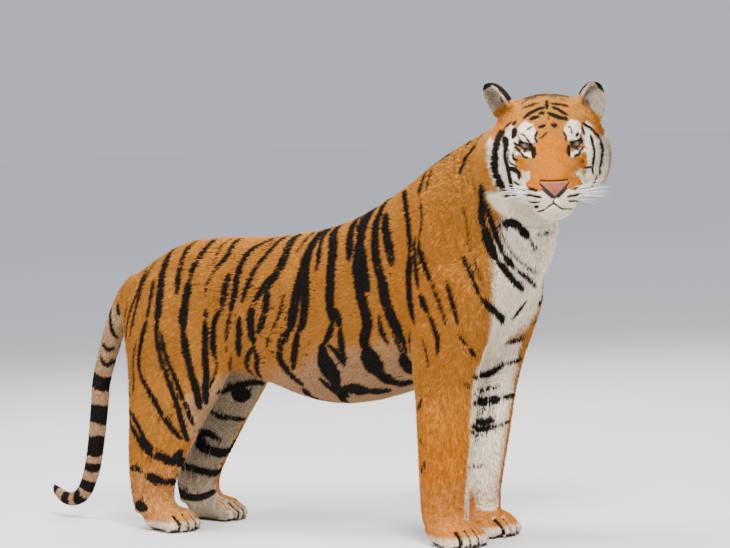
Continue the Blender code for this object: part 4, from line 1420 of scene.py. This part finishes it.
def nose_piece():
    nose = fused(new_object("nose_leather", NOSE_SHAPE), NOSE_VOXEL)
    smooth_by_rounds(nose.data, np.full(len(nose.data.vertices), NOSE_ROUNDS))
    points = places(nose.data)
    local = through(HEAD_BACK, points)
    line = curve_through(np.array(NOSTRILS) / 1000, 0.001)
    flat = np.column_stack([np.abs(local[:, 1]), local[:, 2]])
    gap = np.linalg.norm(flat[:, None] - line[None], axis=2).min(1)
    hole = ramp(gap, NOSTRIL_HALF, NOSTRIL_HALF * 0.5)
    middle_line = ramp(np.abs(local[:, 1]), 0.0030, 0.0008) * ramp(local[:, 2], -0.080, -0.088)
    outside = np.clip(beyond_leather(local) * 1.6, 0, 0.010)
    inwards = hole * NOSTRIL_DEPTH + middle_line * 0.0018 + outside
    push = normals(nose.data) * NOSE_SWELL - np.array(HEAD.col[0].to_3d()) * inwards[:, None]
    set_places(nose.data, points + push)
    # Painted shade: the nostrils' openings are marked dark.
    store(nose.data, "dark", ramp(gap, NOSTRIL_HALF * 1.35, NOSTRIL_HALF * 0.9))
    shade_smooth(nose.data)
    finish = Finish("nose_leather")
    spots = finish.node("ShaderNodeTexVoronoi", {}, {"Vector": finish.place, "Scale": 620.0}, "Distance")
    colour = finish.blend(finish.noise(60.0).step(0.35, 0.7) * 0.6, LEATHER_PINK, LEATHER_RED)
    # The nostrils are painted dark as shade.
    colour = finish.blend(finish.attribute("dark"), colour, NOSTRIL_PAINTED_SHADE)
    bump = finish.bump(spots, 0.0006, 0.6)
    nose.data.materials.append(finish.set(Base_Color=colour, Roughness=0.42, Normal=bump))
    return nose


# ---------------------------------------------------------------- eyes
IRIS, PUPIL = 0.62, 0.20  # how far out they reach, as a share of the eyeball's radius
GAZE = math.radians(-4.0)  # about the head's +Y, so that both eyes look a little up
IRIS_SWELL = 0.0011  # the clear front of the eye stands out by this


def eye_finish():
    finish = Finish("wet_eye")
    out = finish.attribute("out")
    streaks = finish.noise(900.0, 2.0)
    iris = finish.blend(streaks.step(0.3, 0.7), IRIS_OLIVE, IRIS_DARK)
    iris = finish.blend(out.step(IRIS * 0.78, IRIS), iris, IRIS_RIM)
    colour = finish.blend(out.step(PUPIL, PUPIL + 0.03), PUPIL_BLACK, iris)
    colour = finish.blend(out.step(IRIS, IRIS + 0.05), colour, EYE_BROWN)
    return finish.set(Base_Color=colour, Roughness=0.12, Coat_Weight=0.6, Coat_Roughness=0.03)


def eye_piece(side, sign, material):
    centre = Matrix.Translation((EYE_FORWARD, sign * EYE_SPREAD, 0))
    axes = HEAD @ centre @ Matrix.Rotation(GAZE, 4, "Y")
    mesh = bmesh.new()
    pole = Matrix.Rotation(math.radians(90), 4, "Y")
    bmesh.ops.create_uvsphere(mesh, u_segments=48, v_segments=40, radius=EYE_RADIUS, matrix=axes @ pole)
    piece = new_object("eyeball_" + side, mesh)
    points = places(piece.data)
    local = through(axes.inverted(), points)
    out = np.hypot(local[:, 1], local[:, 2]) / EYE_RADIUS
    out = np.where(local[:, 0] > 0, out, 2 - out)
    store(piece.data, "out", out)
    local[:, 0] += IRIS_SWELL * ramp(out, IRIS, 0.15)
    set_places(piece.data, through(axes, local))
    shade_smooth(piece.data)
    piece.data.materials.append(material)
    return piece


# ---------------------------------------------------------------- whiskers
# z in the head's axes, how many on each side, and about the longest one's length; both in millimetres.
WHISKER_ROWS = ((-86, 5, 100), (-95, 6, 120), (-103, 6, 115), (-111, 4, 90))
WHISKER_RADIUS, WHISKER_STEPS = 0.0008, 7


def whisker(mesh, root, lead, droop, length):
    """A bent hair that narrows to its tip, drawn out of a small ring by extruding."""
    steps = WHISKER_STEPS
    ring = bmesh.ops.create_circle(mesh, cap_ends=True, segments=5, radius=WHISKER_RADIUS)["verts"]
    facing = lead.to_track_quat("Z", "Y").to_matrix().to_4x4()
    bmesh.ops.transform(mesh, verts=ring, matrix=Matrix.Translation(root) @ facing)
    cap = [face for face in mesh.faces if all(vert in ring for vert in face.verts)]
    for step in range(steps):
        drawn = bmesh.ops.extrude_face_region(mesh, geom=cap)
        ring = [item for item in drawn["geom"] if isinstance(item, bmesh.types.BMVert)]
        if step:
            bmesh.ops.delete(mesh, geom=cap, context="FACES_ONLY")
        cap = [item for item in drawn["geom"] if isinstance(item, bmesh.types.BMFace)]
        along = lead + droop * (step / steps)
        bmesh.ops.translate(mesh, verts=ring, vec=along.normalized() * length / steps)
        centre = sum((vert.co for vert in ring), Vector()) / len(ring)
        shrink = (steps - step - 0.7) / (steps - step)
        bmesh.ops.scale(mesh, verts=ring, vec=(shrink, shrink, shrink), space=Matrix.Translation(-centre))


def whiskers_piece(surface):
    rng = np.random.default_rng(SEED)
    mesh = bmesh.new()
    for _, sign in SIDES:
        for z, count, longest in WHISKER_ROWS:
            for index in range(count):
                spread = index / max(count - 1, 1)
                y = sign * (0.030 + 0.032 * spread + rng.uniform(-0.002, 0.002))
                start = HEAD @ Vector((0.4, y, z / 1000 + rng.uniform(-0.002, 0.002)))
                hit = surface.ray_cast(start, -HEAD.col[0].to_3d())[0]
                if hit is None:
                    continue
                back = 0.25 + 0.5 * spread + (0.25 if sign < 0 else 0.0)
                rise = 0.10 + 0.25 * (z + 96) / 25 + rng.uniform(-0.1, 0.1)
                lead = Vector((-back, sign, rise)).normalized()
                droop = Vector((-0.25, 0.0, -0.45 + rng.uniform(-0.15, 0.15)))
                length = longest / 1000 * rng.uniform(0.75, 1.05)
                turn = HEAD.to_3x3()
                whisker(mesh, hit, turn @ lead, turn @ droop, length)
    bmesh.ops.recalc_face_normals(mesh, faces=mesh.faces)
    piece = new_object("whiskers", mesh)
    finish = Finish("whisker_hair")
    tone = finish.blend(finish.noise(300.0).step(0.3, 0.7), WHISKER_WHITE, WHISKER_CREAM)
    piece.data.materials.append(finish.set(Base_Color=tone, Roughness=0.35))
    return piece


# ---------------------------------------------------------------- claws
CLAW_LENGTH, CLAW_ROOT, CLAW_POINT, CLAW_EDGE = 0.013, 0.0030, 0.0006, 0.0004
CLAW_LEAN, CLAW_HEIGHT, CLAW_AHEAD = math.radians(118), 0.0185, 0.0005
TOES_APART, TOES_DEEP = 0.016, 0.045  # least room between two toes' tips, and the furthest back one may lie


def toe_tips(points, node):
    """The foremost place of each of a paw's four toes, low down."""
    low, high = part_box(node)
    x, y, z = points.T
    level = (z > 0.014) & (z < 0.034)
    mine = points[level & (x > low.x) & (y > low.y) & (y < high.y) & (x < high.x + 0.02)]
    bins = np.linspace(low.y, high.y, 45)
    profile = np.array([mine[np.abs(mine[:, 1] - at) < 0.002, 0].max(initial=low.x) for at in bins])
    tips = []
    for index in np.argsort(-profile):
        apart = all(abs(bins[index] - other[1]) > TOES_APART for other in tips)
        peak = profile[max(index - 2, 0):index + 3].max() <= profile[index] + 1e-6
        if apart and peak and profile[index] > high.x - TOES_DEEP:
            tips.append((profile[index], bins[index]))
    return tips[:4]


def claws_piece(points):
    mesh = bmesh.new()
    lean = Matrix.Rotation(CLAW_LEAN, 4, "Y")
    for node in PAW_TURNS:
        for x, y in toe_tips(points, node):
            place = Matrix.Translation((x + CLAW_AHEAD, y, CLAW_HEIGHT))
            bmesh.ops.create_cone(
                mesh, cap_ends=True, segments=10, radius1=CLAW_ROOT, radius2=CLAW_POINT, depth=CLAW_LENGTH,
                matrix=place @ lean)
    bmesh.ops.bevel(
        mesh, geom=mesh.edges[:], offset=CLAW_EDGE, affect="EDGES", segments=1, profile=0.5, material=-1)
    piece = new_object("claws", mesh)
    finish = Finish("claw_horn")
    streaks = finish.noise(240.0, 3.0, (0.3, 1.0, 1.0))
    tone = finish.blend(streaks.step(0.3, 0.7), HORN_DARK, HORN_PALE)
    bump = finish.bump(streaks, 0.0004, 0.5)
    piece.data.materials.append(finish.set(Base_Color=tone, Roughness=0.35, Normal=bump))
    return piece


# ---------------------------------------------------------------- floor, light and camera
FLOOR_RADIUS, FLOOR_DROP = 90.0, 0.0005
FLOOR_PALER = (1.5, 14.0)  # from the middle: where the floor starts to grow paler, and where it is palest
SKY_STRENGTH = 0.65
# Name, place, power in watts and width in metres. Each looks at the middle of her body.
LIGHTS = (
    ("key", (3.2, -3.0, 4.4), 620.0, 1.6),
    ("fill", (-2.8, -3.6, 2.2), 110.0, 3.0),
    ("back", (-2.2, 3.4, 3.6), 200.0, 2.6),
    ("top", (-0.6, -0.6, 4.8), 330.0, 2.4),
)
LIGHT_AIM = Vector((0.1, 0, 0.6))
CAMERA_AIM = Vector((0.1904, 0.0178, 0.6769))
CAMERA_TURN, CAMERA_LIFT, CAMERA_ROLL = math.radians(36.0), math.radians(3.0), math.radians(2.5)
CAMERA_DISTANCE, CAMERA_LENS, CAMERA_CLIP = 8.0, 152.7, 250.0


def studio():
    """A pale, flat floor that runs out to meet the sky and grows paler on the way, the sky and the lamps."""
    mesh = bmesh.new()
    place = Matrix.Translation((0, 0, -FLOOR_DROP))
    bmesh.ops.create_circle(mesh, cap_ends=True, segments=96, radius=FLOOR_RADIUS, matrix=place)
    floor = new_object("floor", mesh)
    finish = Finish("pale_floor")
    near = finish.blend(finish.noise(3.0), FLOOR_GREY, FLOOR_LIGHT)
    distance = finish.node("ShaderNodeVectorMath", {"operation": "LENGTH"}, {0: finish.place}, "Value")
    tone = finish.blend(distance.step(*FLOOR_PALER), near, FLOOR_FAR)
    floor.data.materials.append(finish.set(Base_Color=tone, Roughness=0.9))
    world = bpy.data.worlds.new("studio")
    bpy.context.scene.world = world
    world.use_nodes = True
    sky = world.node_tree.nodes["Background"]
    sky.inputs["Color"].default_value = SKY
    sky.inputs["Strength"].default_value = SKY_STRENGTH
    for name, place, power, size in LIGHTS:
        lamp = bpy.data.lights.new(name, "AREA")
        lamp.shape = "DISK"
        lamp.energy, lamp.size = power, size
        light = bpy.data.objects.new(name, lamp)
        light.location = place
        light.rotation_euler = (LIGHT_AIM - light.location).to_track_quat("-Z", "Y").to_euler()
        bpy.context.scene.collection.objects.link(light)


def camera():
    lens = bpy.data.cameras.new("camera")
    lens.lens = CAMERA_LENS
    lens.clip_end = CAMERA_CLIP
    made = bpy.data.objects.new("camera", lens)
    right = Vector((math.cos(CAMERA_TURN), math.sin(CAMERA_TURN), 0))
    level = math.cos(CAMERA_LIFT)
    back = Vector((math.sin(CAMERA_TURN) * level, -math.cos(CAMERA_TURN) * level, math.sin(CAMERA_LIFT)))
    up = back.cross(right)
    across = right * math.cos(CAMERA_ROLL) - up * math.sin(CAMERA_ROLL)
    upward = up * math.cos(CAMERA_ROLL) + right * math.sin(CAMERA_ROLL)
    made.matrix_world = Matrix.Translation(CAMERA_AIM + back * CAMERA_DISTANCE) @ Matrix(
        (across, upward, back)).transposed().to_4x4()
    bpy.context.scene.collection.objects.link(made)
    bpy.context.scene.camera = made


# ---------------------------------------------------------------- putting her together
SKIN_DARKER = 0.0016  # off the head, each edge of a stripe lies this much further out on the skin


def build():
    skin = finished_skin()
    surface = surface_of(skin.data)
    stripes = stripes_and_cleft_shade(surface, toe_cleft_shade(skin.data))
    points, outward = places(skin.data), normals(skin.data)
    marks = coat_marks(stripes, points, outward)
    marks["dark"] += SKIN_DARKER * (1 - zones(points)["head"])
    for mark, values in marks.items():
        store(skin.data, mark, values)
    store(skin.data, "bare", bare_places(points, outward))
    skin.data.materials.append(skin_finish())
    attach(skin, "root")
    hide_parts(*FLESH)

    material = coat_finish()
    numbers = region_numbers(points)
    for region, (name, count) in enumerate(TUFTS.items()):
        coat = tufts(skin, surface, stripes, numbers, region, "coat_" + name, count, material)
        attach(coat, "root")

    nose = nose_piece()
    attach(nose, "root")
    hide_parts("nose")

    wet = eye_finish()
    for side, sign in SIDES:
        eye = eye_piece(side, sign, wet)
        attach(eye, "root")
        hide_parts("eye_" + side)

    horns = claws_piece(points)
    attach(horns, "root")

    hairs = whiskers_piece(surface)
    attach(hairs, "root")


build()
studio()
camera()
